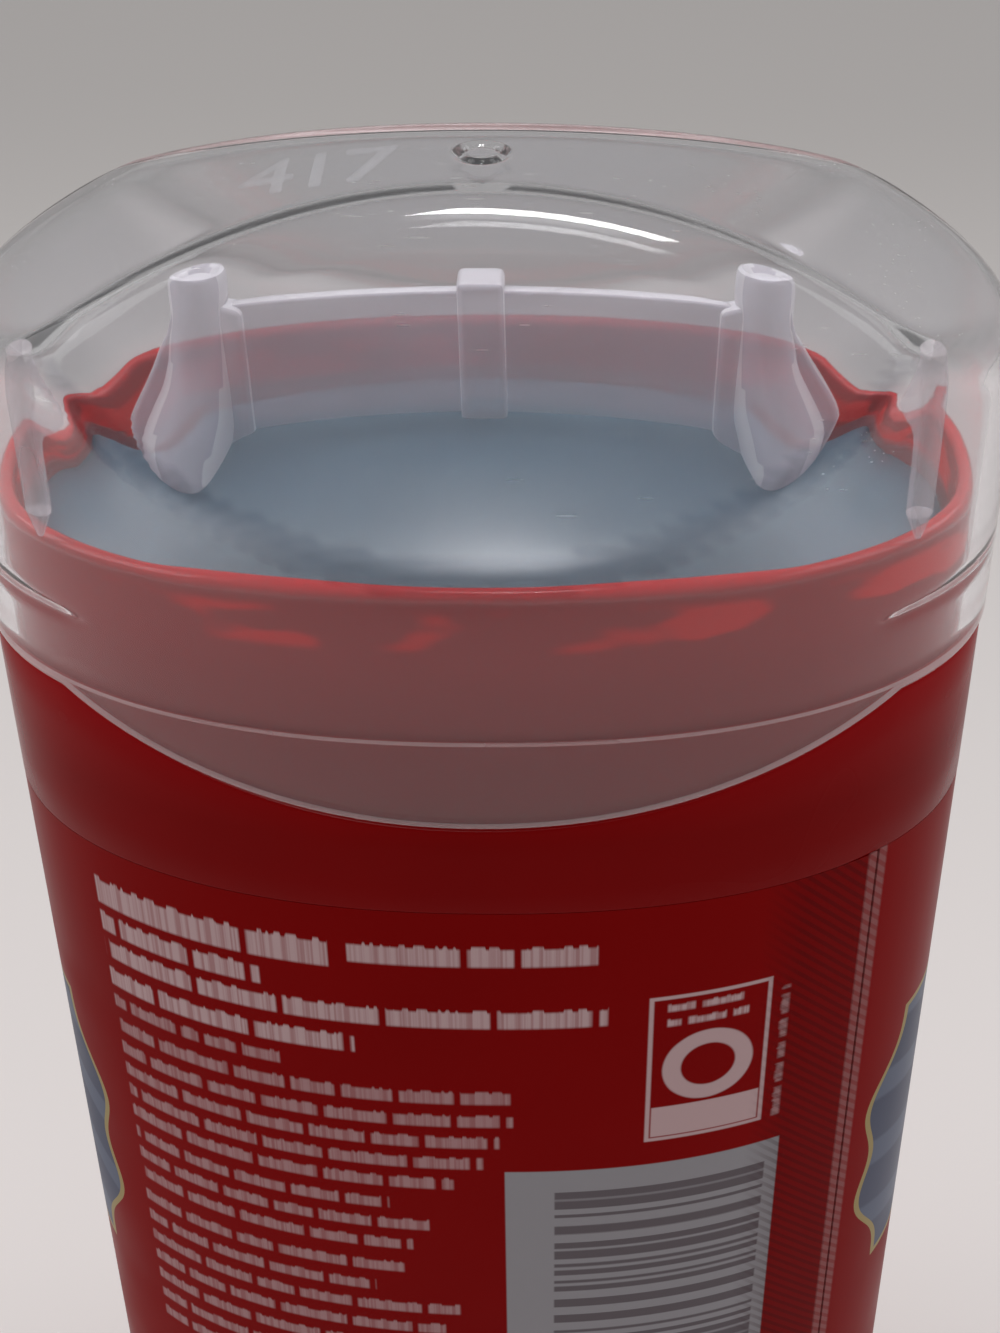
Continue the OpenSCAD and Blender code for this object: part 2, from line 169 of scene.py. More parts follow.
class Graph:
    # a few short calls for building a node tree
    def __init__(self, tree):
        self.tree = tree

    def add(self, kind, **settings):
        node = self.tree.nodes.new(kind)
        for key, value in settings.items():
            setattr(node, key, value)
        return node

    def join(self, source, target):
        self.tree.links.new(source, target)

    def feed(self, socket, value):
        if isinstance(value, bpy.types.NodeSocket):
            self.join(value, socket)
        elif value is not None:
            socket.default_value = value

    def math(self, operation, a, b=None, c=None, clamp=False):
        node = self.add("ShaderNodeMath", operation=operation, use_clamp=clamp)
        for socket, value in zip(node.inputs, (a, b, c)):
            self.feed(socket, value)
        return node.outputs[0]

    def times(self, a, b):
        return self.math("MULTIPLY", a, b)

    def plus(self, a, b):
        return self.math("ADD", a, b)

    def minus(self, a, b):
        return self.math("SUBTRACT", a, b)

    def timesPlus(self, a, b, c, clamp=False):
        return self.math("MULTIPLY_ADD", a, b, c, clamp)

    def fill(self, node, **values):
        # sets or joins a node's inputs; an underscore stands for a space
        for key, value in values.items():
            self.feed(node.inputs[key.replace("_", " ")], value)
        return node

    def ramp(self, value, low, high, toLow=0.0, toHigh=1.0, smooth=False):
        node = self.add("ShaderNodeMapRange", interpolation_type="SMOOTHSTEP" if smooth else "LINEAR")
        self.fill(node, Value=value, From_Min=low, From_Max=high, To_Min=toLow, To_Max=toHigh)
        return node.outputs["Result"]

    def near(self, value, place, low, high):
        # 1 where the value is close to a place, fading between two distances
        return self.ramp(self.math("ABSOLUTE", self.minus(value, place)), low, high, 1.0, 0.0)

    def mix(self, factor, a, b):
        node = self.add("ShaderNodeMix", data_type="RGBA")
        for socket, value in zip((node.inputs[0], node.inputs[6], node.inputs[7]), (factor, a, b)):
            self.feed(socket, value)
        return node.outputs[2]

    def noise(self, vector, scale, detail, rough):
        node = self.add("ShaderNodeTexNoise")
        return self.fill(node, Vector=vector, Scale=scale, Detail=detail, Roughness=rough).outputs["Fac"]

    def noiseAlong(self, w, scale, detail, rough):
        node = self.add("ShaderNodeTexNoise", noise_dimensions="1D")
        return self.fill(node, W=w, Scale=scale, Detail=detail, Roughness=rough).outputs["Fac"]

    def spread(self, vector, scale, turn=(0, 0, 0)):
        return self.fill(self.add("ShaderNodeMapping"), Vector=vector, Scale=scale, Rotation=turn).outputs[0]

    def split(self, vector):
        node = self.add("ShaderNodeSeparateXYZ")
        self.join(vector, node.inputs[0])
        return node.outputs[0], node.outputs[1], node.outputs[2]

    def bump(self, height, strength, distance):
        node = self.add("ShaderNodeBump")
        return self.fill(node, Height=height, Strength=strength, Distance=distance).outputs[0]

    def close(self, shader):
        self.join(shader.outputs[0], self.add("ShaderNodeOutputMaterial").inputs["Surface"])


vectorSocket = "NodeSocketVector"


def addSockets(tree, inputs, outputs):
    # an input is given by its kind of socket, or by a number, which is its default
    for label, value in inputs.items():
        kind = value if isinstance(value, str) else "NodeSocketFloat"
        socket = tree.interface.new_socket(name=label, in_out="INPUT", socket_type=kind)
        if kind != value:
            socket.default_value = value
    for label, kind in outputs.items():
        tree.interface.new_socket(name=label, in_out="OUTPUT", socket_type=kind)


def newGroup(name, inputs, *outputs):
    tree = bpy.data.node_groups.new(name, "ShaderNodeTree")
    addSockets(tree, inputs, {label: "NodeSocketFloat" for label in outputs})
    g = Graph(tree)
    return g, g.add("NodeGroupInput").outputs, g.add("NodeGroupOutput").inputs


def useGroup(g, tree, **values):
    return g.fill(g.add("ShaderNodeGroup", node_tree=tree), **values).outputs


def newMaterial(name):
    mat = bpy.data.materials.new(name)
    mat.use_nodes = True
    mat.node_tree.nodes.clear()
    g = Graph(mat.node_tree)
    return mat, g, g.add("ShaderNodeBsdfPrincipled"), g.add("ShaderNodeTexCoord").outputs["Object"]


def mouldedSkin():
    # the faint waviness and grain of a moulded face, as a height and a change of roughness
    inputs = {"Place": vectorSocket, "Wave": 60.0, "Grain": 900.0}
    g, enter, leave = newGroup("mouldedSkin", inputs, "Height", "Dull")
    wave = g.noise(enter["Place"], enter["Wave"], 2.0, 0.4)
    grain = g.noise(enter["Place"], enter["Grain"], 3.0, 0.6)
    g.join(g.timesPlus(grain, 0.12, wave), leave["Height"])
    g.join(g.ramp(grain, 0.3, 0.7), leave["Dull"])
    return g.tree


# each direction's turn and its stretch, and where a scratch begins and ends to fade
scratchLook = {"ways": [(0.35, (110, 1900, 1900)), (-0.5, (150, 2600, 2600))], "core": 0.05, "edge": 0.13}


def fineScratches():
    # short straight scratches in two directions
    look = scratchLook
    g, enter, leave = newGroup("fineScratches", {"Place": vectorSocket, "Amount": 0.5}, "Mask")
    lines = []
    for turn, scale in look["ways"]:
        way = g.spread(enter["Place"], scale, (turn * 0.4, turn * 0.5, turn))
        cell = g.fill(g.add("ShaderNodeTexVoronoi", feature="F1"), Vector=way, Scale=1.0)
        lines.append(g.ramp(cell.outputs["Distance"], look["core"], look["edge"], 1.0, 0.0))
    g.join(g.times(g.math("MAXIMUM", *lines), enter["Amount"]), leave["Mask"])
    return g.tree


def handled():
    # smudges from handling: soft patches that are a little duller
    g, enter, leave = newGroup("handled", {"Place": vectorSocket, "Size": 90.0}, "Smudge")
    soft = g.noise(enter["Place"], enter["Size"], 2.0, 0.65)
    g.join(g.ramp(soft, 0.45, 0.72, smooth=True), leave["Smudge"])
    return g.tree


def rectangle():
    # 1 inside a rectangle with soft edges, on film coordinates in millimetres
    inputs = {"U": 0.0, "V": 0.0, "Left": 0.0, "Right": 1.0, "Low": 0.0, "High": 1.0, "Soft": 0.12}
    g, i, leave = newGroup("rectangle", inputs, "Mask")
    parts = []
    for axis, low, high in (("U", "Left", "Right"), ("V", "Low", "High")):
        for inside in (g.minus(i[axis], i[low]), g.minus(i[high], i[axis])):
            parts.append(g.math("DIVIDE", inside, i["Soft"], clamp=True))
    g.join(g.times(g.times(*parts[:2]), g.times(*parts[2:])), leave["Mask"])
    return g.tree


# soft edges and gaps in millimetres; the shifts keep the rows from repeating one another
barLook = {"soft": 0.22, "endSoft": 0.15, "gap": (0.16, 0.34), "rowShift": 7.37,
           "step": {"scale": 1.1, "shift": 17.3, "share": 0.12},
           "ink": {"scale": 1.9, "shift": 31.7, "thin": 0.6}}


def wordBars():
    # rows of plain bars, broken into word lengths, that stand for lines of print
    look = barLook
    inputs = {"U": 0.0, "V": 0.0, "Left": 0.0, "Right": 10.0, "Top": 10.0, "Rows": 4.0, "Pitch": 2.0,
              "Height": 1.2, "Word": 4.0, "Seed": 0.0, "Ragged": 0.3}
    g, i, leave = newGroup("wordBars", inputs, "Mask")
    down = g.math("DIVIDE", g.minus(i["Top"], i["V"]), i["Pitch"])
    row = g.math("FLOOR", down)
    part = g.times(g.minus(down, row), i["Pitch"])
    # the bar's upper edge steps down here and there
    steps = g.noiseAlong(g.timesPlus(row, look["step"]["shift"], i["U"]), look["step"]["scale"], 1.0, 0.5)
    ease = g.times(i["Height"], g.ramp(steps, 0.5, 0.54, look["step"]["share"], 0.0))
    tall = g.times(g.ramp(g.minus(part, ease), 0.0, look["soft"]),
                   g.ramp(g.minus(i["Height"], part), 0.0, look["soft"]))
    # each row ends at a place of its own
    mixIn = g.fill(g.add("ShaderNodeCombineXYZ"), X=row, Y=i["Seed"])
    pick = g.fill(g.add("ShaderNodeTexWhiteNoise", noise_dimensions="2D"), Vector=mixIn.outputs[0])
    width = g.minus(i["Right"], i["Left"])
    end = g.minus(i["Right"], g.times(g.times(pick.outputs["Value"], i["Ragged"]), width))
    inside = g.times(g.ramp(g.minus(i["U"], i["Left"]), 0.0, look["endSoft"]),
                     g.ramp(g.minus(end, i["U"]), 0.0, look["endSoft"]))
    rows = g.times(g.math("GREATER_THAN", row, -0.5), g.math("LESS_THAN", row, g.minus(i["Rows"], 0.5)))
    # gaps between words: cells of uneven width along each row
    along = g.math("DIVIDE", g.minus(i["U"], i["Left"]), i["Word"])
    along = g.plus(g.plus(along, g.times(row, look["rowShift"])), i["Seed"])
    cell = g.add("ShaderNodeTexVoronoi", voronoi_dimensions="1D", feature="DISTANCE_TO_EDGE")
    g.fill(cell, W=along, Scale=1.0)
    gap = g.ramp(g.times(cell.outputs["Distance"], i["Word"]), *look["gap"])
    # uneven ink inside a bar
    ink = g.noiseAlong(g.plus(i["U"], g.times(row, look["ink"]["shift"])), look["ink"]["scale"], 2.0, 0.6)
    broken = g.ramp(ink, 0.38, 0.56, look["ink"]["thin"], 1.0)
    g.join(g.times(g.times(g.times(tall, inside), g.times(rows, gap)), broken), leave["Mask"])
    return g.tree


moulded, scratches, smudges = mouldedSkin(), fineScratches(), handled()
rectangleMask, wordMask = rectangle(), wordBars()
print("stage: shared effects ready")


# natural polypropylene: the cap's wall bends what is behind it, with a little milk in it
clearPlastic = {
    "cap": {"tint": (0.93, 0.925, 0.945, 1), "clear": 0.973, "ior": 1.38, "rough": 0.045, "scratch": 0.9},
    # the ribbon's pink tint is painted light, standing in for the red neck seen bent through the rounded
    # lower edge; it is also less clear, for the real milk in that edge
    "ribbonPaintedPink": {"tint": (1, 0.74, 0.8, 1), "clear": 0.66, "ior": 1.38, "rough": 0.06, "scratch": 0.3},
    # painted shade: a dark tint along the inner lower edge, and how much of it is laid on
    "shadow": (0.95, 0.95, 0.955, 1), "creaseShade": (0.2, 0.2, 0.27, 1), "creaseShadeShare": 0.4,
    "scratchPale": (1, 1, 1, 1), "scratchRough": 0.3, "scratchHeights": (0.1185, 0.1205), "easedRough": 0.1,
    "waveScale": 40.0, "waveStrength": 0.3, "waveHeight": 0.00004,
}

# the milkier parts: how much of a veil each face lays over what is behind it
milkyPlastic = {
    "rib": {"color": (0.75, 0.68, 0.72, 1), "veil": 0.34, "ior": 1.6, "rough": 0.2},
    "plate": {"color": (0.22, 0.25, 0.3, 1), "veil": 0.11, "ior": 2.6, "rough": 0.25},
    "grip": {"color": (0.72, 0.69, 0.77, 1), "veil": 0.44, "ior": 1.6, "rough": 0.3},
    # the grip's edge faces are a lighter copy of the grip, a painted highlight along its edges
    "gripEdgeLit": {"color": (0.84, 0.82, 0.87, 1), "veil": 0.56, "ior": 1.6, "rough": 0.25},
    # the hem's pale pink veil on the cap's lower faces is a painted highlight, a light line along the lower
    # edge
    "hem": {"color": (0.8, 0.6, 0.6, 1), "veil": 0.4, "ior": 1.8, "rough": 0.2},
    "mark": {"color": (0.6, 0.6, 0.63, 1), "veil": 0.12, "ior": 1.8, "rough": 0.2},
}


def clearMaterial(name, look):
    # duller in the eased lower edge, with painted shade as a darker tint in the sharp inner edge, scratched
    # on top
    c = clearPlastic
    mat, g, shader, place = newMaterial(name)
    eased, creaseShade, upper = g.split(g.add("ShaderNodeAttribute", attribute_name="edges").outputs["Vector"])
    patch = g.ramp(g.noise(place, 120.0, 1.0, 0.6), 0.42, 0.62)
    high = g.times(g.ramp(g.split(place)[2], *c["scratchHeights"]), patch)
    amount = g.times(g.math("MAXIMUM", high, upper), look["scratch"])
    lines = useGroup(g, scratches, Place=place, Amount=amount)["Mask"]
    rough = g.timesPlus(lines, c["scratchRough"], look["rough"])
    tint = g.mix(lines, look["tint"], c["scratchPale"])
    wave = g.noise(place, c["waveScale"], 0.0, 0.3)
    # painted shade: the base colour darkens along the inner lower edge
    g.fill(shader, Base_Color=g.mix(g.times(creaseShade, c["creaseShadeShare"]), tint, c["creaseShade"]),
           Roughness=g.timesPlus(eased, c["easedRough"], rough, clamp=True),
           Normal=g.bump(wave, c["waveStrength"], c["waveHeight"]),
           IOR=look["ior"], Transmission_Weight=look["clear"])
    # lamps reach what stands behind the clear wall
    passing = g.fill(g.add("ShaderNodeBsdfTransparent"), Color=c["shadow"])
    ray, blend = g.add("ShaderNodeLightPath"), g.add("ShaderNodeMixShader")
    sources = ray.outputs["Is Shadow Ray"], shader.outputs[0], passing.outputs[0]
    for source, socket in zip(sources, blend.inputs):
        g.join(source, socket)
    g.close(blend)
    return mat


def milkyMaterial(name, look):
    mat, g, shader, place = newMaterial(name)
    soft = g.noise(place, 55.0, 1.0, 0.6)
    g.fill(shader, Base_Color=look["color"], IOR=look["ior"],
           Roughness=g.timesPlus(soft, 0.06, look["rough"]),
           Alpha=g.times(g.ramp(soft, 0.3, 0.7, 0.85, 1.15), look["veil"]))
    g.close(shader)
    return mat


# heights in millimetres: the neck's paler red, which is painted light, the band that touches the cap, where
# brighter red patches are painted, and the glossy lip
barrelLook = {
    "red": (0.18, 0.0002, 0.0004, 1), "redPale": (0.21, 0.0003, 0.0006, 1), "neck": (0.38, 0.01, 0.013, 1),
    "touchGlowRed": (0.75, 0.008, 0.008, 1), "rough": 0.2, "smudgeRough": 0.1, "coatRough": 0.08,
    "neckLightHeights": (99.0, 112.0), "touchHeights": (112.0, 115.2), "touchSoft": 0.7,
    "lipHeights": (115.2, 115.5),
}


def barrelMaterial():
    # deep red gloss plastic; the neck is painted a lighter red for light that comes through the cap, and
    # brighter red patches are painted where it touches the cap
    look = barrelLook
    mat, g, shader, place = newMaterial("barrelRed")
    z = g.times(g.split(place)[2], 1 / mm)
    low, high = look["touchHeights"]
    band = g.times(g.ramp(z, low, low + look["touchSoft"], smooth=True),
                   g.ramp(z, high - look["touchSoft"], high, 1.0, 0.0, smooth=True))
    patch = g.ramp(g.noise(g.spread(place, (1, 1, 2.6)), 110.0, 2.0, 0.5), 0.5, 0.6, smooth=True)
    tone = g.mix(g.ramp(g.noise(place, 35.0, 3.0, 0.6), 0.3, 0.7), look["red"], look["redPale"])
    # painted light: lighter red up the neck towards the rim
    tone = g.mix(g.ramp(z, *look["neckLightHeights"]), tone, look["neck"])
    dull = useGroup(g, smudges, Place=place, Size=60.0)["Smudge"]
    # painted light: brighter red patches in the band where the neck touches the cap
    g.fill(shader, Base_Color=g.mix(g.times(band, patch), tone, look["touchGlowRed"]), IOR=1.5,
           Specular_IOR_Level=0.035, Roughness=g.timesPlus(dull, look["smudgeRough"], look["rough"]),
           Coat_Weight=g.ramp(z, *look["lipHeights"]), Coat_Roughness=look["coatRough"])
    g.close(shader)
    return mat


def plainPlastic(name, color, second, rough, wave=120.0):
    # moulded satin plastic: two close tones, a faint wave and grain, and smudges
    mat, g, shader, place = newMaterial(name)
    skin = useGroup(g, moulded, Place=place, Wave=wave, Grain=1800.0)
    dull = useGroup(g, smudges, Place=place, Size=120.0)["Smudge"]
    tone = g.mix(g.ramp(g.noise(place, 80.0, 3.0, 0.6), 0.35, 0.65), color, second)
    g.fill(shader, Base_Color=tone, IOR=1.48, Normal=g.bump(skin["Height"], 0.4, 0.0001),
           Roughness=g.timesPlus(dull, 0.08, g.timesPlus(skin["Dull"], 0.08, rough)))
    g.close(shader)
    return mat


stickLook = {"deep": (0.05, 0.1, 0.145, 1), "pale": (0.07, 0.127, 0.17, 1), "speck": (0.2, 0.29, 0.35, 1),
             "speckShare": 0.25, "rough": 0.5, "roughMore": 0.12, "bumpStrength": 0.3, "bumpHeight": 0.00015}


def stickMaterial():
    # waxy stick, cast smooth: soft clouds of two close blues, with fine paler specks
    look = stickLook
    mat, g, shader, place = newMaterial("stickWax")
    cloud, speck = g.noise(place, 45.0, 4.0, 0.62), g.noise(place, 700.0, 2.0, 0.5)
    tone = g.mix(g.ramp(cloud, 0.3, 0.7), look["deep"], look["pale"])
    g.fill(shader, Base_Color=g.mix(g.ramp(speck, 0.62, 0.8, 0.0, look["speckShare"]), tone, look["speck"]),
           Roughness=g.ramp(cloud, 0.3, 0.7, look["rough"], look["rough"] + look["roughMore"]),
           Normal=g.bump(g.timesPlus(speck, 0.2, cloud), look["bumpStrength"], look["bumpHeight"]),
           IOR=1.44, Specular_IOR_Level=0.2)
    g.close(shader)
    return mat


# the film's print, in millimetres: u runs along the near side from its middle, v is the height above the foot
printed = {
    "red": (0.2, 0.0001, 0.0002, 1), "redPale": (0.23, 0.0002, 0.0004, 1), "ink": (0.55, 0.4, 0.41, 1),
    "inkShare": 0.92, "white": (0.3, 0.29, 0.31, 1), "stockInk": (0.09, 0.07, 0.08, 1), "stockShare": 0.8,
    "blue": (0.11, 0.12, 0.17, 1), "blueDeep": (0.075, 0.085, 0.13, 1), "bluePale": (0.17, 0.2, 0.27, 1),
    "gold": (0.36, 0.28, 0.13, 1), "hatchInk": (0.04, 0.001, 0.002, 1), "seamEdge": (0.3, 0.13, 0.13, 1),
    "blocks": [
        # left, right, top below the rim, rows, pitch, height, word length, seed, ragged
        (-26.0, -9.0, 24.9, 1, 4.0, 2.5, 20.0, 0.3, 0.0),
        (-7.9, 8.0, 24.9, 1, 4.0, 1.9, 6.0, 2.1, 0.0),
        (-26.0, -13.7, 27.9, 1, 4.0, 1.9, 4.0, 4.4, 0.0),
        (-26.0, 8.7, 30.3, 1, 4.0, 1.8, 7.0, 6.2, 0.0),
        (-26.0, -7.7, 32.9, 1, 4.0, 1.8, 7.0, 8.5, 0.0),
        (-26.0, -12.9, 35.4, 1, 4.0, 1.3, 3.2, 1.6, 0.0),
        (-26.0, 2.7, 37.6, 1, 4.0, 1.4, 4.0, 3.9, 0.0),
        (-26.0, 3.6, 39.8, 4, 2.05, 1.35, 4.6, 5.7, 0.22),
        (-26.0, 0.4, 48.2, 3, 2.1, 1.3, 4.2, 7.1, 0.4),
        (-26.1, -0.4, 54.9, 7, 2.2, 1.3, 4.6, 9.3, 0.3),
    ],
    "panelRows": (2, 1.3, 0.85, 3.0, 1.3, 0.2), "sideRows": (1, 3.0, 0.8, 2.2, 4.7, 0.0),
    # rows lower than this are printed thinner
    "boldFrom": 1.45, "thinShare": 0.62, "sideShare": 0.6,
    # left, right, and top and foot below the rim
    "panel": (11.2, 19.6, 29.9, 43.2), "stock": (1.8, 21.2, 45.3, 69.0),
    "panelLine": 0.3, "ringRadius": 2.5, "sideSpan": (31.0, 43.5), "softEdge": 0.12,
    "shiftU": 0.6, "shiftV": 1.97, "scaleV": 98.0, "hatch": (18.5, 26.1), "seam": 26.8, "seamHalf": 0.8,
    "field": (29.3, 39.6, 66.0), "fieldBulge": 3.4, "fieldRipple": 0.7,
}


def filmMaterial():
    look, rim = printed, pack["rim"]
    mat, g, shader, place = newMaterial("labelFilm")
    across, up, _ = g.split(g.add("ShaderNodeUVMap", uv_map="film").outputs[0])
    u, v = g.timesPlus(across, 100.0, look["shiftU"]), g.timesPlus(up, look["scaleV"], look["shiftV"])

    def box(left, right, topDrop, lowDrop):
        return useGroup(g, rectangleMask, U=u, V=v, Left=left, Right=right, High=rim - topDrop,
                        Low=rim - lowDrop, Soft=look["softEdge"])["Mask"]

    def bars(along, height, left, right, top, rows, pitch, tall, word, seed, ragged):
        return useGroup(g, wordMask, U=along, V=height, Left=left, Right=right, Top=top, Rows=float(rows),
                        Pitch=pitch, Height=tall, Word=word, Seed=seed, Ragged=ragged)["Mask"]

    def inField(border, inset):
        tall = g.times(g.math("LESS_THAN", v, rim - top - inset),
                       g.math("GREATER_THAN", v, rim - low + inset))
        return g.times(g.math("GREATER_THAN", g.math("ABSOLUTE", u), border), tall)

    color = g.mix(g.ramp(g.noise(place, 30.0, 3.0, 0.6), 0.3, 0.7), look["red"], look["redPale"])
    # generic blue field with a pale gold border on the far side, its ends just in sight at both sides
    edge, top, low = look["field"]
    middle = g.times(g.minus(v, rim - (top + low) / 2), 2 / (low - top))
    bulge = g.times(g.times(middle, middle), look["fieldBulge"])
    ripple = g.times(g.math("SINE", g.times(v, 0.62)), look["fieldRipple"])
    border = g.plus(g.plus(edge, bulge), ripple)
    shade = g.mix(g.ramp(v, rim - low, rim - top), look["blue"], look["blueDeep"])
    wave = g.math("SINE", g.timesPlus(v, 0.9, g.times(u, 0.25)))
    shade = g.mix(g.ramp(wave, 0.2, 0.6, 0.0, 0.5, smooth=True), shade, look["bluePale"])
    color = g.mix(inField(border, 0), color, look["gold"])
    color = g.mix(inField(g.plus(border, 0.55), 0.5), color, shade)
    # rows of plain bars in place of print
    ink = []
    for left, right, topDrop, *kind in look["blocks"]:
        rows = bars(u, v, left, right, rim - topDrop, *kind)
        ink.append(g.times(rows, 1.0 if kind[2] > look["boldFrom"] else look["thinShare"]))
    # framed panel with a plain ring, two rows and a solid foot
    left, right, topDrop, lowDrop = look["panel"]
    line = look["panelLine"]
    inner = box(left + line, right - line, topDrop + line, lowDrop - line)
    du, dv = g.minus(u, (left + right) / 2), g.minus(v, rim - (topDrop + lowDrop) / 2)
    far = g.math("SQRT", g.plus(g.times(du, du), g.times(dv, dv)))
    ink += [g.minus(box(left, right, topDrop, lowDrop), inner), g.near(far, look["ringRadius"], 0.55, 0.7),
            box(left + 0.4, right - 0.4, lowDrop - 3.3, lowDrop - 0.4),
            bars(u, v, left + 1.2, right - 1.2, rim - topDrop - 0.7, *look["panelRows"])]
    # a column of short marks beside the panel
    high, deep = look["sideSpan"]
    side = bars(v, g.times(u, -1.0), rim - deep, rim - high, -(right + 0.6), *look["sideRows"])
    ink.append(g.times(side, look["sideShare"]))
    total = ink[0]
    for mask in ink[1:]:
        total = g.math("MAXIMUM", total, mask)
    color = g.mix(g.times(total, look["inkShare"]), color, look["ink"])
    # white box of plain level stock bars
    left, right, topDrop, lowDrop = look["stock"]
    lines = g.ramp(g.noiseAlong(g.minus(rim - topDrop - 2.2, v), 1.15, 0.0, 0.0), 0.47, 0.53)
    striped = g.times(lines, box(left + 3.4, right - 1.0, topDrop + 1.9, lowDrop - 1.0))
    color = g.mix(box(left, right, topDrop, lowDrop), color, look["white"])
    color = g.mix(g.times(striped, look["stockShare"]), color, look["stockInk"])
    # dark hatched overlap beside the seam, and the seam's pale cut edge
    start, end = look["hatch"]
    band = g.times(g.ramp(u, start, start + 3.0), g.math("LESS_THAN", u, end))
    slant = g.math("SINE", g.times(g.plus(u, v), 7.0))
    color = g.mix(g.times(band, g.ramp(slant, -0.2, 0.5, 0.2, 0.5)), color, look["hatchInk"])
    seam = g.near(u, look["seam"], look["seamHalf"] - 0.1, look["seamHalf"] + 0.1)
    color = g.mix(g.times(seam, g.ramp(slant, -0.2, 0.5, 0.75, 0.4)), color, look["seamEdge"])
    dull = useGroup(g, smudges, Place=place, Size=55.0)["Smudge"]
    g.fill(shader, Base_Color=color, Roughness=g.timesPlus(dull, 0.12, 0.3), IOR=1.46,
           Specular_IOR_Level=0.025)
    g.close(shader)
    return mat


capPlastic = clearMaterial("capClear", clearPlastic["cap"])
capRibbonPaintedPink = clearMaterial("capRibbonPaintedPink", clearPlastic["ribbonPaintedPink"])
ribPlastic = milkyMaterial("ribClear", milkyPlastic["rib"])
capHemPaintedLine = milkyMaterial("capHemPaintedHighlight", milkyPlastic["hem"])
markPlastic = milkyMaterial("capMark", milkyPlastic["mark"])
sealPlastic = milkyMaterial("sealPlateClear", milkyPlastic["plate"])
gripPlastic = milkyMaterial("sealGripMilky", milkyPlastic["grip"])
gripEdgeLit = milkyMaterial("sealGripEdgeLit", milkyPlastic["gripEdgeLit"])
barrelRed, stickWax, labelFilm = barrelMaterial(), stickMaterial(), filmMaterial()
collarRed = plainPlastic("collarRed", (0.13, 0.001, 0.002, 1), (0.16, 0.002, 0.003, 1), 0.34)
screwWhite = plainPlastic("screwWhite", (0.72, 0.72, 0.7, 1), (0.78, 0.78, 0.75, 1), 0.4)
elevatorWhite = plainPlastic("elevatorWhite", (0.7, 0.71, 0.7, 1), (0.77, 0.77, 0.76, 1), 0.42, 90.0)
print("stage: materials ready")


def dress(obj, mat, body, slot, *nodes):
    obj.data.materials.clear()
    obj.data.materials.append(mat)
    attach(obj, body)
    if nodes:
        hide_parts(*nodes)


barrelShape = {"round": 0.3, "landInset": 0.95, "recess": 0.17, "seatInset": 1.55, "seatTop": 15.5,
               "windowHalf": 12.5, "windowLow": 2.2, "windowHigh": 9.2, "windowReach": 40}


def scallopAt(x, gap):
    r, dip = pack["scallopRadius"], pack["scallopDip"]
    return pack["ledge"] - dip + r + gap - np.sqrt(r * r - x * x)


def scallopHeight(gap):
    # height of the shoulder's edge round the outline: level at the ends, an arc front and rear
    return np.minimum(scallopAt(insetOval(0)[:, 0], gap), pack["ledge"] + gap)


def makeBarrel():
    s = barrelShape
    r, rim, ledge, recess, seat = s["round"], pack["rim"], pack["ledge"], s["recess"], s["seatInset"]
    recessLow, recessTop = pack["labelLow"], pack["labelTop"] + 0.03
    shoulder = scallopHeight(0)
    neck, bore, land = pack["neckInset"], pack["boreInset"], s["landInset"]
    # from the foot up the outside
    rows = [ring(seat - 0.3, 0), ring(r, 0), ring(r * 0.3, r * 0.3), ring(0, r)]
    rows += [ring(0, z) for z in (2, 5, 8, recessLow - 0.4)]
    rows += [ring(0.05, recessLow - 0.15), ring(recess, recessLow - 0.1)]
    rows += [ring(recess, z) for z in np.linspace(recessLow + 0.2, recessTop - 0.3, 14)]
    rows += [ring(recess, recessTop), ring(0.02, recessTop + 0.01), ring(0, recessTop + 0.08)]
    rows += [ring(0, recessTop + (shoulder - r - recessTop) * f) for f in (0.25, 0.5, 0.75, 1)]
    # over the scalloped shoulder to the neck
    rows += [ring(0.3 * r, shoulder - 0.3 * r), ring(r, shoulder), ring(land - 0.1, shoulder)]
    up = ledge + 0.02 - shoulder
    rows += [ring(land, shoulder + 0.02 + up * f) for f in (0, 0.2, 0.4, 0.6, 0.8)]
    rows += [ring(land + 0.04, ledge + 0.05), ring(neck - 0.12, ledge + 0.06), ring(neck, ledge + 0.2)]
    rows += [ring(neck, z) for z in np.linspace(ledge + 0.8, rim - 0.6, 12)]
    # over the round rim and down the bore
    mid, half = (neck + bore) / 2, (bore - neck) / 2
    turns = np.radians(np.arange(0, 181, 20))
    rows += [ring(mid - half * math.cos(a), rim - half + half * math.sin(a)) for a in turns]
    rows += [ring(bore, z) for z in np.linspace(rim - 1.2, s["seatTop"] + 0.5, 16)]
    rows += [ring(bore, s["seatTop"]), ring(seat, s["seatTop"])] + [ring(seat, z) for z in (12, 8, 4, 0.4)]
    obj = makeObject("barrelShell", *skinRows(rows, loop=True), sharp=40)
    w, reach = s["windowHalf"], s["windowReach"]
    corners = (-w, -reach), (w, -reach), (w, reach), (-w, reach)
    verts = [(x, y, z) for z in (s["windowLow"], s["windowHigh"]) for x, y in corners]
    faces = [(0, 3, 2, 1), (4, 5, 6, 7)] + [(i, (i + 1) % 4, (i + 1) % 4 + 4, i + 4) for i in range(4)]
    boolean(obj, makeObject("windowCutter", verts, faces), "DIFFERENCE")
    dress(obj, barrelRed, "body", "barrel_red", "barrel")


makeBarrel()
print("stage: barrel ready")


filmShape = {"thick": 0.13, "inset": 0.015, "overlap": 3.0, "lift": 0.07, "cut": 0.15, "columns": 300}


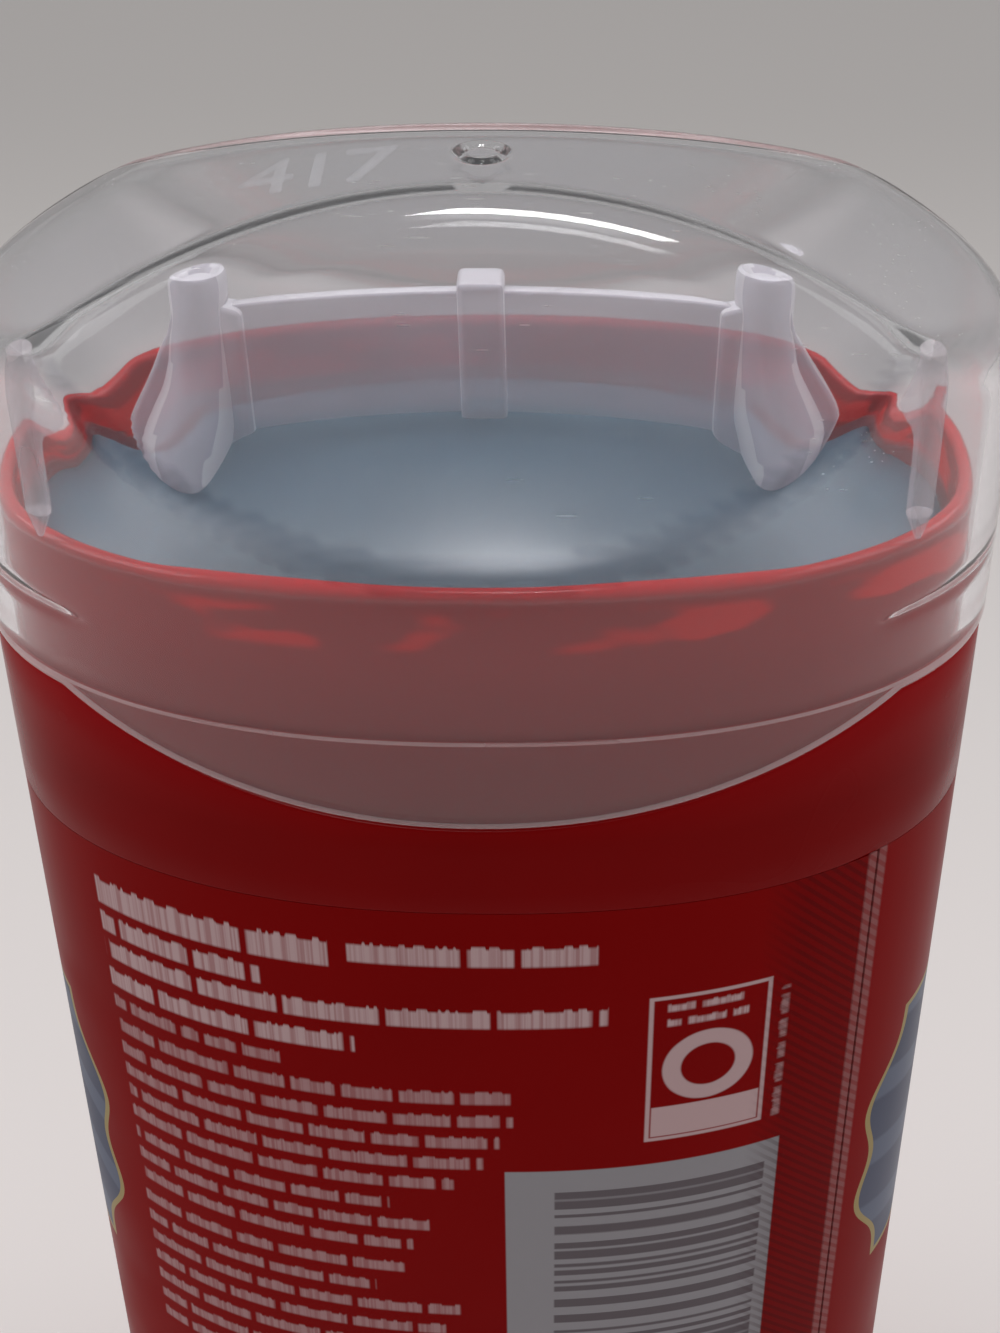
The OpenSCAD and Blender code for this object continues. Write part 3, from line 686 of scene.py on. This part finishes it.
def makeFilm():
    s = filmShape
    n = s["columns"]
    # even places along the outline, from the seam once round to just short of it
    start = printed["seam"] - printed["shiftU"]
    far = np.linspace(start + s["cut"], start + aroundLength - s["cut"], n)
    around = np.interp(np.mod(far, aroundLength), outlineWay, outlineAngles)
    lift = s["lift"] * (1 - smoothStep(0, s["overlap"], far[-1] - far))

    def line(inset, z):
        out = 2 * (inset - lift)
        return np.column_stack([ovalAt(around, pack["width"] - out, pack["depth"] - out), np.full(n, z)])

    heights = np.linspace(pack["labelLow"], pack["labelTop"], 12)
    count = len(heights)
    rows = [line(s["inset"], z) for z in heights] + [line(s["inset"] + s["thick"], z) for z in heights[::-1]]
    verts, faces = skinRows(rows, loop=True, wrap=False)
    # close both cut ends
    for j in (0, n - 1):
        for i in range(count - 1):
            a, b = i * n + j, (i + 1) * n + j
            c, d = (2 * count - 2 - i) * n + j, (2 * count - 1 - i) * n + j
            faces.append((a, b, c, d) if j == 0 else (d, c, b, a))
    obj = makeObject("wrapFilm", verts, faces, sharp=60)
    mesh = obj.data
    # u is the way along the outline, from minus to plus half the way round
    co = pointsOf(mesh)
    outline, way = ovalAt(outlineAngles[::8], pack["width"], pack["depth"]), outlineWay[::8]
    away = np.array([way[np.argmin(((outline - p) ** 2).sum(axis=1))] for p in co[:, :2]])
    away = np.where(away > aroundLength / 2, away - aroundLength, away)
    loops = np.zeros(len(mesh.loops), int)
    mesh.loops.foreach_get("vertex_index", loops)
    u = away[loops]
    for poly in mesh.polygons:
        face = slice(poly.loop_start, poly.loop_start + poly.loop_total)
        if np.ptp(u[face]) > aroundLength / 2:
            u[face] = np.where(u[face] < 0, u[face] + aroundLength, u[face])
    layer = mesh.uv_layers.new(name="film")
    layer.data.foreach_set("uv", np.column_stack([u / 100, co[loops, 2] / 100]).ravel())
    dress(obj, labelFilm, "body", "label_film", "wrap_label")


makeFilm()
print("stage: label film ready")


def domeHeight(x, y, rise):
    # height of the stick's dome, raised by a thickness
    rx, ry = pack["domeArch"], pack["domeCrown"]
    z0 = pack["crown"] - ry
    across = (ry - rx) + np.sqrt((rx + rise) ** 2 - x * x)
    return z0 + np.sqrt(np.maximum(across ** 2 - y * y, 0.01))


def domePole(rise):
    return pole(domeHeight(0.0, 0.0, rise))


def domeRow(inset, rise, fraction=1.0):
    xy = insetOval(inset) * fraction
    return np.column_stack([xy, domeHeight(xy[:, 0], xy[:, 1], rise)])


stickShape = {"sideInset": 3.0, "baseInset": 4.1, "base": 53.3, "step": 56.3, "round": 0.5,
              "boreRadius": 5.3, "boreTop": 107.0, "boreSides": 48}


def makeStick():
    s = stickShape
    side, inset, step, base = s["sideInset"], s["baseInset"], s["step"], s["base"]
    low = domeRow(side, 0)[:, 2]
    under = low - s["round"]
    rows = [domePole(0)] + [domeRow(side, 0, f) for f in np.linspace(0.04, 0.97, 26)]
    rows += [ring(side + 0.12, low - 0.05), ring(side, under)]
    rows += [ring(side, under + (step + 0.2 - under) * f) for f in np.linspace(0.1, 1, 10)]
    rows += [ring(side + 0.2, step), ring(inset, step), ring(inset, base), pole(base)]
    obj = makeObject("gelStick", *skinRows(rows), sharp=50)
    n, r = s["boreSides"], s["boreRadius"]
    cos, sin = circle(n)
    ends = [np.column_stack([r * cos, r * sin, np.full(n, z)]) for z in (base - 1, s["boreTop"])]
    verts, faces = skinRows(ends)
    faces += [tuple(range(n)), tuple(range(2 * n - 1, n - 1, -1))]
    boolean(obj, makeObject("boreCutter", verts, faces), "DIFFERENCE")
    dress(obj, stickWax, "carriage", "stick_blue", "deodorant_stick")


makeStick()
print("stage: stick ready")


# heights from flareLow on are over the rim
sealShape = {"edgeInset": 3.0, "lipInset": 4.0, "low": 0.1, "plate": 0.9, "lip": 1.5, "sink": 0.5,
             "webThick": 0.9, "webHalf": 14.0, "webTop": 10.1, "webArch": 122.0,
             "ribHalf": 1.4, "ribTop": 10.9, "ribThick": 2.6, "wingThick": 2.0, "wingOut": 20.5,
             "flareLow": 3.3, "flareTop": 7.0, "flare": 0.85, "postX": 17.0, "postR": 1.8, "postTop": 11.8,
             "postSides": 40, "footHalfDepth": 5.3, "root": -3.6, "cutLow": 95.0, "flatNormal": 0.55}


def slab(name, outline, thick, bevel=0.25):
    # an upright plate with this outline across the width, its edges eased
    half = thick / 2
    n = len(outline)
    verts = [(x, -half, z) for x, z in outline] + [(x, half, z) for x, z in outline]
    faces = [tuple(range(n)), tuple(range(2 * n - 1, n - 1, -1))]
    faces += [(i, (i + 1) % n, n + (i + 1) % n, n + i) for i in range(n)]
    obj = makeObject(name, verts, faces)
    mod = obj.modifiers.new("bevel", "BEVEL")
    mod.width, mod.segments, mod.limit_method, mod.angle_limit = bevel * mm, 3, "ANGLE", math.radians(40)
    return applied(obj)


def makeSeal():
    s = sealShape
    rim, edge, lip = pack["rim"], s["edgeInset"], s["lipInset"]
    fractions = np.linspace(0.05, 1, 22)
    upper, foot = domeRow(edge + 0.15, s["lip"]), domeRow(edge, s["low"])
    rows = [domePole(s["plate"])] + [domeRow(lip + 0.12, s["plate"], f) for f in fractions]
    rows += [domeRow(lip, s["plate"] + 0.12), domeRow(lip, s["lip"] - 0.15), domeRow(lip - 0.15, s["lip"])]
    rows += [upper, ring(edge, upper[:, 2] - 0.2), ring(edge, foot[:, 2] + 0.15)]
    rows += [domeRow(edge + 0.12, s["low"], f) for f in fractions[::-1]] + [domePole(s["low"])]
    plate = makeObject("sealPlate", *skinRows(rows), sharp=40)
    # the grip's web and middle rib
    root, web, rib, arch = rim + s["root"] + 1.5, s["webHalf"], s["ribHalf"], s["webArch"]
    xs = np.linspace(web + 1, -web - 1, 40)
    top = [(x, rim + s["webTop"] - arch + math.sqrt(arch ** 2 - x * x)) for x in xs]
    grip = slab("gripWeb", [(-web - 1, root), (web + 1, root)] + top, s["webThick"], 0.2)
    outline = [(0.2 - rib, root), (rib + 0.2, root), (rib, rim + s["ribTop"]), (-rib, rim + s["ribTop"])]
    boolean(grip, slab("gripRib", outline, s["ribThick"], 0.4), "UNION")
    # a wing and a buttressed post at each side
    px, r, out, flare = s["postX"], s["postR"], s["wingOut"], s["flare"]
    low, high, tip, depth = s["flareLow"], s["flareTop"], s["postTop"], s["footHalfDepth"]
    wing = [(out - 0.6, root), (out, root + 1.6), (out, rim + low), (out - 0.35, rim + low + 1.4),
            (px + r + 0.1, rim + high + 0.6), (px + r - 0.3, rim + tip - 1.2),
            (web + 0.2, rim + s["webTop"] - 1.2), (web, root)]
    # middle, half width, half depth and height over the rim of each level, from the dimple down
    dimple = (0.5 * r, tip - 0.55), (0.66 * r, tip - 0.2), (0.8 * r, tip), (r - 0.12, tip - 0.08)
    levels = [(px, w, w, z) for w, z in dimple + ((r, tip - 0.4), (r, high + 1.4))]
    levels += [(px + flare * f, r + flare * f, r + (depth - r) * f ** 1.1, high - (high + 0.4) * f)
               for f in (0.15, 0.35, 0.55, 0.75, 1)]
    levels.append((px + flare, r + flare, depth, s["root"] + 0.6))
    n = s["postSides"]
    cos, sin = circle(n)
    for side in (-1, 1):
        outline = [(side * x, z) for x, z in wing[::-side]]
        boolean(grip, slab("gripWing", outline, s["wingThick"], 0.35), "UNION")
        rings = [np.column_stack([side * (x + w * cos), d * sin, np.full(n, rim + z)])
                 for x, w, d, z in levels]
        ends = pole(rim + tip - 0.6, side * px), pole(rim + s["root"] + 0.6, side * (px + flare))
        boolean(grip, makeObject("gripPost", *skinRows([ends[0]] + rings + [ends[1]])), "UNION")
    # cut the grip's foot to the dome, so that it sinks half way into the plate
    rows = [domePole(s["sink"])] + [domeRow(-2.0, s["sink"], f) for f in np.linspace(0.1, 0.78, 16)]
    last = rows[-1][:, :2]
    rows += [np.column_stack([last, np.full(len(last), s["cutLow"])]), pole(s["cutLow"])]
    boolean(grip, makeObject("domeCutter", *skinRows(rows)), "DIFFERENCE")
    plate.data.materials.append(sealPlastic)
    grip.data.materials.clear()
    for mat in (gripPlastic, gripEdgeLit):
        grip.data.materials.append(mat)
    # the grip's edge faces get the lighter copy, a painted highlight
    for poly in grip.data.polygons:
        poly.material_index = 1 if abs(poly.normal.y) < s["flatNormal"] else 0
    boolean(plate, grip, "UNION")
    plate.name = "gripSeal"
    plate.data.shade_smooth()
    plate.data.set_sharp_from_angle(angle=math.radians(34))
    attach(plate, "carriage")
    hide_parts("inner_seal")


makeSeal()
print("stage: seal ready")


# the facets' slope is in degrees; bead rows are a height over the rim and how far it stands out
capShape = {"width": 63.9, "depth": 38.4, "rise": 18.6, "arch": 61.3, "crownR": 80.0, "slope": 51.2,
            "facetLow": 1.78, "scoop": 0.0104, "crownWall": 1.5, "wall": 1.45, "flapWall": 0.85, "gap": 0.3,
            "frownRound": 1.8, "smileRound": 3.4, "endRound": 2.2, "innerRounds": (1.5, 0.5, 0.8),
            "gateX": 0.2, "gateRadius": 1.25, "gateWidth": 0.28, "gateDeep": 0.3, "skirtFrom": 2.0,
            "bead": ((-4.5, 0.07), (-4.7, 0.16), (-4.9, 0.2), (-5.1, 0.16), (-5.3, 0.07), (-5.6, 0.0))}


def roundMax(a, b, r):
    # meeting of two solids with an eased edge
    return np.minimum(-r, np.maximum(a, b)) + np.hypot(np.maximum(r + a, 0), np.maximum(r + b, 0))


def capParts(x, y, z, wall, side, gate=False):
    # distances inside (below zero) the crown, the facets and the oval wall
    s = capShape
    n = pack["ovalPower"]
    rx, ry = s["arch"] - wall, s["crownR"] - wall
    z0 = pack["rim"] + s["rise"] - wall - ry
    crown = np.hypot(np.hypot(y, z - z0) - (ry - rx), x) - rx
    if gate:
        dish = np.exp(-((np.hypot(x - s["gateX"], y) - s["gateRadius"]) / s["gateWidth"]) ** 2)
        crown = crown + s["gateDeep"] * dish * (z > z0)
    slope = math.radians(s["slope"])
    # the facets are scooped a little, so their upper edge swings back in the middle
    reach = s["depth"] / 2 - np.abs(y) + s["scoop"] * x * x / 2
    facet = ((z - pack["rim"] - s["facetLow"]) - math.tan(slope) * reach) * math.cos(slope) + wall
    a, b = s["width"] / 2 - side, s["depth"] / 2 - side
    g = np.maximum(((np.abs(x) / a) ** n + (np.abs(y) / b) ** n) ** (1 / n), 1e-4)
    grad = g ** (1 - n) * np.hypot((np.abs(x) / a) ** (n - 1) / a, (np.abs(y) / b) ** (n - 1) / b)
    return crown, facet, (g - 1) / np.maximum(grad, 1e-6)


def capField(x, y, z, wall, side, frown, smile, end, gate=False):
    crown, facet, skirt = capParts(x, y, z, wall, side, gate)
    near = smoothStep(21.0, 25.5, np.abs(x))
    top = roundMax(crown, facet, frown * np.where(y > 0, 0.5, 1))
    return roundMax(top, skirt, smile * (1 - near) + end * near)


def capRow(target, centreZ, field):
    # where a ray from the middle to each target leaves the form
    centre = np.array([0, 0, centreZ])
    way = target - centre
    way = way / np.linalg.norm(way, axis=1)[:, None]
    low, high = np.full(len(way), 1.0), np.full(len(way), 45.0)
    for _ in range(36):
        mid = (low + high) / 2
        p = centre + way * mid[:, None]
        inside = field(p[:, 0], p[:, 1], p[:, 2]) < 0
        low, high = np.where(inside, mid, low), np.where(inside, high, mid)
    return centre + way * ((low + high) / 2)[:, None]


def capWall(side, z):
    xy = ovalAt(angles, capShape["width"] - 2 * side, capShape["depth"] - 2 * side)
    return np.column_stack([xy, np.broadcast_to(z, len(xy))])


def capSkin(wall, side, rounds, gate):
    s = capShape

    def field(x, y, z):
        return capField(x, y, z, wall, side, *rounds, gate)

    low, top = pack["rim"] - s["skirtFrom"], pack["rim"] + s["rise"] - wall
    spans = np.concatenate([np.linspace(0.006, 0.1, 14), np.linspace(0.114, 1, 66)])
    targets = [capWall(side, top) * (f, f, 1) for f in spans]
    targets += [capWall(side, z) for z in np.linspace(top, low, 36)[1:]]
    peak = capRow(np.array([[0, 0.001, top]]), low, field)[0, 2]
    return [pole(peak)] + [capRow(target, low, field) for target in targets]


def markEdges(mesh):
    # how far each point lies in the outer lower edge, the inner lower edge, which gets painted shade, and the
    # outer upper edge
    s = capShape
    x, y, z = pointsOf(mesh).T
    crown, facet, skirt = capParts(x, y, z, 0, 0)
    _, innerFacet, innerSkirt = capParts(x, y, z, s["crownWall"], s["wall"])
    above = z > pack["rim"] - 3
    outer = np.maximum(np.maximum(crown, facet), skirt) > -0.45 * s["wall"]
    middle = 1 - smoothStep(22.0, 25.0, np.abs(x))
    smile = smoothStep(-1.5, -1.3, np.minimum(facet, skirt)) * outer * above * middle
    # mask of the inner lower edge that gets the painted shade
    creaseShade = smoothStep(-0.35, -0.1, np.minimum(innerFacet, innerSkirt)) * ~outer * above * middle * (y < 0)
    frown = smoothStep(-0.95, -0.6, np.minimum(crown, facet)) * outer * above
    layer = mesh.attributes.new("edges", "FLOAT_VECTOR", "POINT")
    layer.data.foreach_set("vector", np.column_stack([smile, creaseShade, frown]).ravel())
    return smile * (y < 0)


def makeCap():
    s = capShape
    rim, wall, flap = pack["rim"], s["wall"], s["flapWall"]
    seat, start = pack["ledge"] + s["gap"], rim - s["skirtFrom"]
    hem = np.minimum(scallopHeight(s["gap"]), seat - 0.02)
    # the outside, from the crown down to the scalloped hem
    rows = capSkin(0.0, 0.0, (s["frownRound"], s["smileRound"], s["endRound"]), True)
    rows += [capWall(0, z) for z in np.linspace(start, seat + 0.6, 12)[1:]]
    rows += [capWall(0, seat + 0.6 + (hem + 0.45 - seat - 0.6) * f) for f in (0.33, 0.66, 1)]
    rows += [capWall(0, hem + 0.2), capWall(0.05, hem + 0.05), capWall(0.2, hem), capWall(flap - 0.1, hem)]
    # the inside, from the crown down past the end beads to the flaps
    inner = capSkin(s["crownWall"], wall, s["innerRounds"], False)
    inner += [capWall(wall, z) for z in np.linspace(start, rim - 4.2, 4)[1:]]
    ends = smoothStep(23.0, 26.0, np.abs(insetOval(0)[:, 0]))[:, None]
    for z, out in s["bead"]:
        plain = capWall(wall, rim + z)
        inner.append(plain + (capWall(wall + out, rim + z) - plain) * ends)
    inner += [capWall(wall, z) for z in np.linspace(rim - 6.0, seat + 0.1, 5)]
    inner += [capWall(wall - 0.05, seat), capWall(flap, seat - 0.01)]
    low = np.minimum(hem + 0.4, seat - 0.012)
    inner += [capWall(flap, seat - 0.01 + (low - seat + 0.01) * f) for f in (0.5, 1)]
    inner.append(capWall(flap, hem + 0.01))
    obj = makeObject("capShell", *skinRows(rows + inner[::-1]), sharp=44)
    smile = markEdges(obj.data)
    dress(obj, capPlastic, "cover", "cap_clear", "cap")
    # the lower hem faces get the painted highlight line, and the outer lower edge gets the pink-painted
    # ribbon
    for mat in (capHemPaintedLine, capRibbonPaintedPink):
        obj.data.materials.append(mat)
    for poly in obj.data.polygons:
        if poly.normal.z < -0.5 and poly.center.z < (seat + 0.2) * mm:
            poly.material_index = 1
        elif smile[list(poly.vertices)].mean() > 0.5:
            poly.material_index = 2


makeCap()
print("stage: cap ready")


# a plain moulded number under the crown, beside the gate's mark
markShape = {"text": "417", "x": -9.2, "y": 0.6, "tall": 6.75, "deep": 0.1, "spacing": 0.85}


def makeNumber():
    s, c = markShape, capShape
    curve = bpy.data.curves.new("mouldNumber", "FONT")
    curve.body, curve.size, curve.extrude = s["text"], s["tall"] * mm, s["deep"] / 2 * mm
    curve.space_character = s["spacing"]
    curve.align_x, curve.align_y, curve.resolution_u = "CENTER", "CENTER", 3
    outline = addObject("mouldNumber", curve)
    mesh = bpy.data.meshes.new_from_object(outline)
    bpy.data.objects.remove(outline)
    obj = addObject("mouldNumber", mesh)
    under = pack["rim"] + c["rise"] - c["crownWall"] - s["deep"]
    for v in mesh.vertices:
        x, y = v.co.x / mm + s["x"], v.co.y / mm + s["y"]
        v.co = (x * mm, y * mm, v.co.z + (under - x * x / (2 * c["arch"]) - y * y / (2 * c["crownR"])) * mm)
    dress(obj, markPlastic, "cover", "cap_clear", "cap")


makeNumber()
print("stage: mould number ready")


# two stop ribs inside the near facet's corners, placed by geometry nodes
ribShape = {"x": 24.8, "radius": 0.8, "height": 11.6, "foot": 1.6, "sides": 24}


def ribTree():
    tree = bpy.data.node_groups.new("stopRibs", "GeometryNodeTree")
    inputs = {"Spacing": 0.05, "Radius": 0.0008, "Height": 0.01, "Foot": 0.0016,
              "Finish": "NodeSocketMaterial", "Place": vectorSocket}
    addSockets(tree, inputs, {"Geometry": "NodeSocketGeometry"})
    g = Graph(tree)
    enter, leave = g.add("NodeGroupInput").outputs, g.add("NodeGroupOutput")
    gap = g.fill(g.add("ShaderNodeCombineXYZ"), X=enter["Spacing"])
    rise = g.fill(g.add("ShaderNodeCombineXYZ"), Z=enter["Foot"])
    line = g.fill(g.add("GeometryNodeMeshLine", mode="OFFSET"), Count=2, Offset=gap.outputs[0],
                  Start_Location=enter["Place"])
    foot = g.fill(g.add("GeometryNodeMeshCone", fill_type="NGON"), Vertices=ribShape["sides"],
                  Radius_Bottom=g.times(enter["Radius"], 0.25), Radius_Top=enter["Radius"],
                  Depth=enter["Foot"])
    shaft = g.fill(g.add("GeometryNodeMeshCone", fill_type="NGON"), Vertices=ribShape["sides"],
                   Radius_Bottom=enter["Radius"], Radius_Top=enter["Radius"],
                   Depth=g.minus(enter["Height"], enter["Foot"]))
    lift = g.fill(g.add("GeometryNodeTransform"), Geometry=shaft.outputs["Mesh"], Translation=rise.outputs[0])
    both = g.add("GeometryNodeJoinGeometry")
    g.join(foot.outputs["Mesh"], both.inputs[0])
    g.join(lift.outputs[0], both.inputs[0])
    merged = g.fill(g.add("GeometryNodeMergeByDistance"), Geometry=both.outputs[0], Distance=1e-6)
    put = g.fill(g.add("GeometryNodeInstanceOnPoints"), Points=line.outputs["Mesh"],
                 Instance=merged.outputs[0])
    real = g.fill(g.add("GeometryNodeRealizeInstances"), Geometry=put.outputs[0])
    finish = g.fill(g.add("GeometryNodeSetMaterial"), Geometry=real.outputs[0], Material=enter["Finish"])
    g.join(finish.outputs[0], leave.inputs[0])
    return tree


def runTree(name, tree, values):
    # a mesh made by a geometry tree, with its inputs set by identifier
    obj = addObject(name, bpy.data.meshes.new(name))
    mod = obj.modifiers.new(name, "NODES")
    mod.node_group = tree
    for item in tree.interface.items_tree:
        if item.in_out == "INPUT" and item.name in values:
            mod[item.identifier] = values[item.name]
    return applied(obj)


def makeRibs():
    s, c = ribShape, capShape
    y = -float(ovalDepth(s["x"], c["width"] - 2 * c["wall"], c["depth"] - 2 * c["wall"]))
    values = {"Spacing": 2 * s["x"] * mm, "Radius": s["radius"] * mm, "Height": s["height"] * mm,
              "Foot": s["foot"] * mm, "Finish": ribPlastic,
              "Place": (-s["x"] * mm, y * mm, (pack["rim"] + c["gap"]) * mm)}
    obj = runTree("stopRibs", ribTree(), values)
    obj.data.shade_smooth()
    obj.data.set_sharp_from_angle(angle=math.radians(40))
    dress(obj, ribPlastic, "cover", "cap_clear", "cap")


makeRibs()
print("stage: stop ribs ready")


for node, mat in (("feed_screw", screwWhite), ("elevator", elevatorWhite), ("base_collar", collarRed)):
    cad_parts[node].data.materials.clear()
    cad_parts[node].data.materials.append(mat)


# the floor's near and far colours are painted light and shade, light in front and darker behind
studio = {"near": (0.88, 0.83, 0.82, 1), "far": (0.46, 0.44, 0.432, 1), "paintedFalloff": (0.0, 0.42), "rough": 0.85,
          "half": 3, "world": 0.34, "air": (1.0, 0.98, 0.97, 1),
          # name, place, aim, width, depth, power
          "lamps": [("ceiling", (0.012, 0.028, 0.85), (0, 0, 0.1), 0.14, 0.07, 1.25),
                    ("left", (-0.8, 0.1, 1.0), (0, 0, 0.07), 0.8, 0.8, 4.4),
                    ("right", (0.8, 0.2, 1.0), (0, 0, 0.07), 0.8, 0.8, 4.0)]}


def makeStudio():
    mat, g, shader, place = newMaterial("paleFloor")
    # painted shade: the floor's colour goes from light near to darker far, with an uneven border
    uneven = g.timesPlus(g.noise(place, 2.0, 2.0, 0.5), 0.08, g.split(place)[1])
    back = g.ramp(uneven, *studio["paintedFalloff"], smooth=True)
    g.fill(shader, Base_Color=g.mix(back, studio["near"], studio["far"]), Roughness=studio["rough"])
    g.close(shader)
    mesh, w = bpy.data.meshes.new("floor"), studio["half"]
    mesh.from_pydata([(-w, -w, 0), (w, -w, 0), (w, w, 0), (-w, w, 0)], [], [(0, 1, 2, 3)])
    mesh.materials.append(mat)
    floor = addObject("floor", mesh)
    for name, spot, aim, width, depth, power in studio["lamps"]:
        lamp = bpy.data.lights.new(name, "AREA")
        lamp.shape, lamp.size, lamp.size_y, lamp.energy = "RECTANGLE", width, depth, power
        obj = addObject(name, lamp)
        obj.location = spot
        obj.rotation_euler = (Vector(aim) - Vector(spot)).to_track_quat("-Z", "Y").to_euler()
    world = bpy.data.worlds.new("room")
    bpy.context.scene.world = world
    world.use_nodes = True
    world.node_tree.nodes["Background"].inputs[0].default_value = studio["air"]
    world.node_tree.nodes["Background"].inputs[1].default_value = studio["world"]
    bpy.context.scene.view_settings.view_transform = "Standard"


# the lens is the fitted focal length in pixels over the picture's height, times the sensor's height
view = {"sensor": 36.0, "pixels": 2072.6, "height": 1333, "clip": (0.005, 20),
        "place": (0.004724, -0.112597, 0.179833), "right": (0.99958586, 0.02606443, -0.01219606),
        "up": (-0.0053637, 0.58514243, 0.81091279), "back": (0.02827241, -0.81051155, 0.58503991)}


def makeCamera():
    data = bpy.data.cameras.new("view")
    data.sensor_fit, data.sensor_height = "VERTICAL", view["sensor"]
    data.lens = view["pixels"] / view["height"] * view["sensor"]
    data.clip_start, data.clip_end = view["clip"]
    obj = addObject("view", data)
    turn = Matrix([view["right"], view["up"], view["back"]]).transposed()
    obj.matrix_world = Matrix.Translation(view["place"]) @ turn.to_4x4()
    bpy.context.scene.camera = obj


makeStudio()
makeCamera()
print("stage: studio ready")
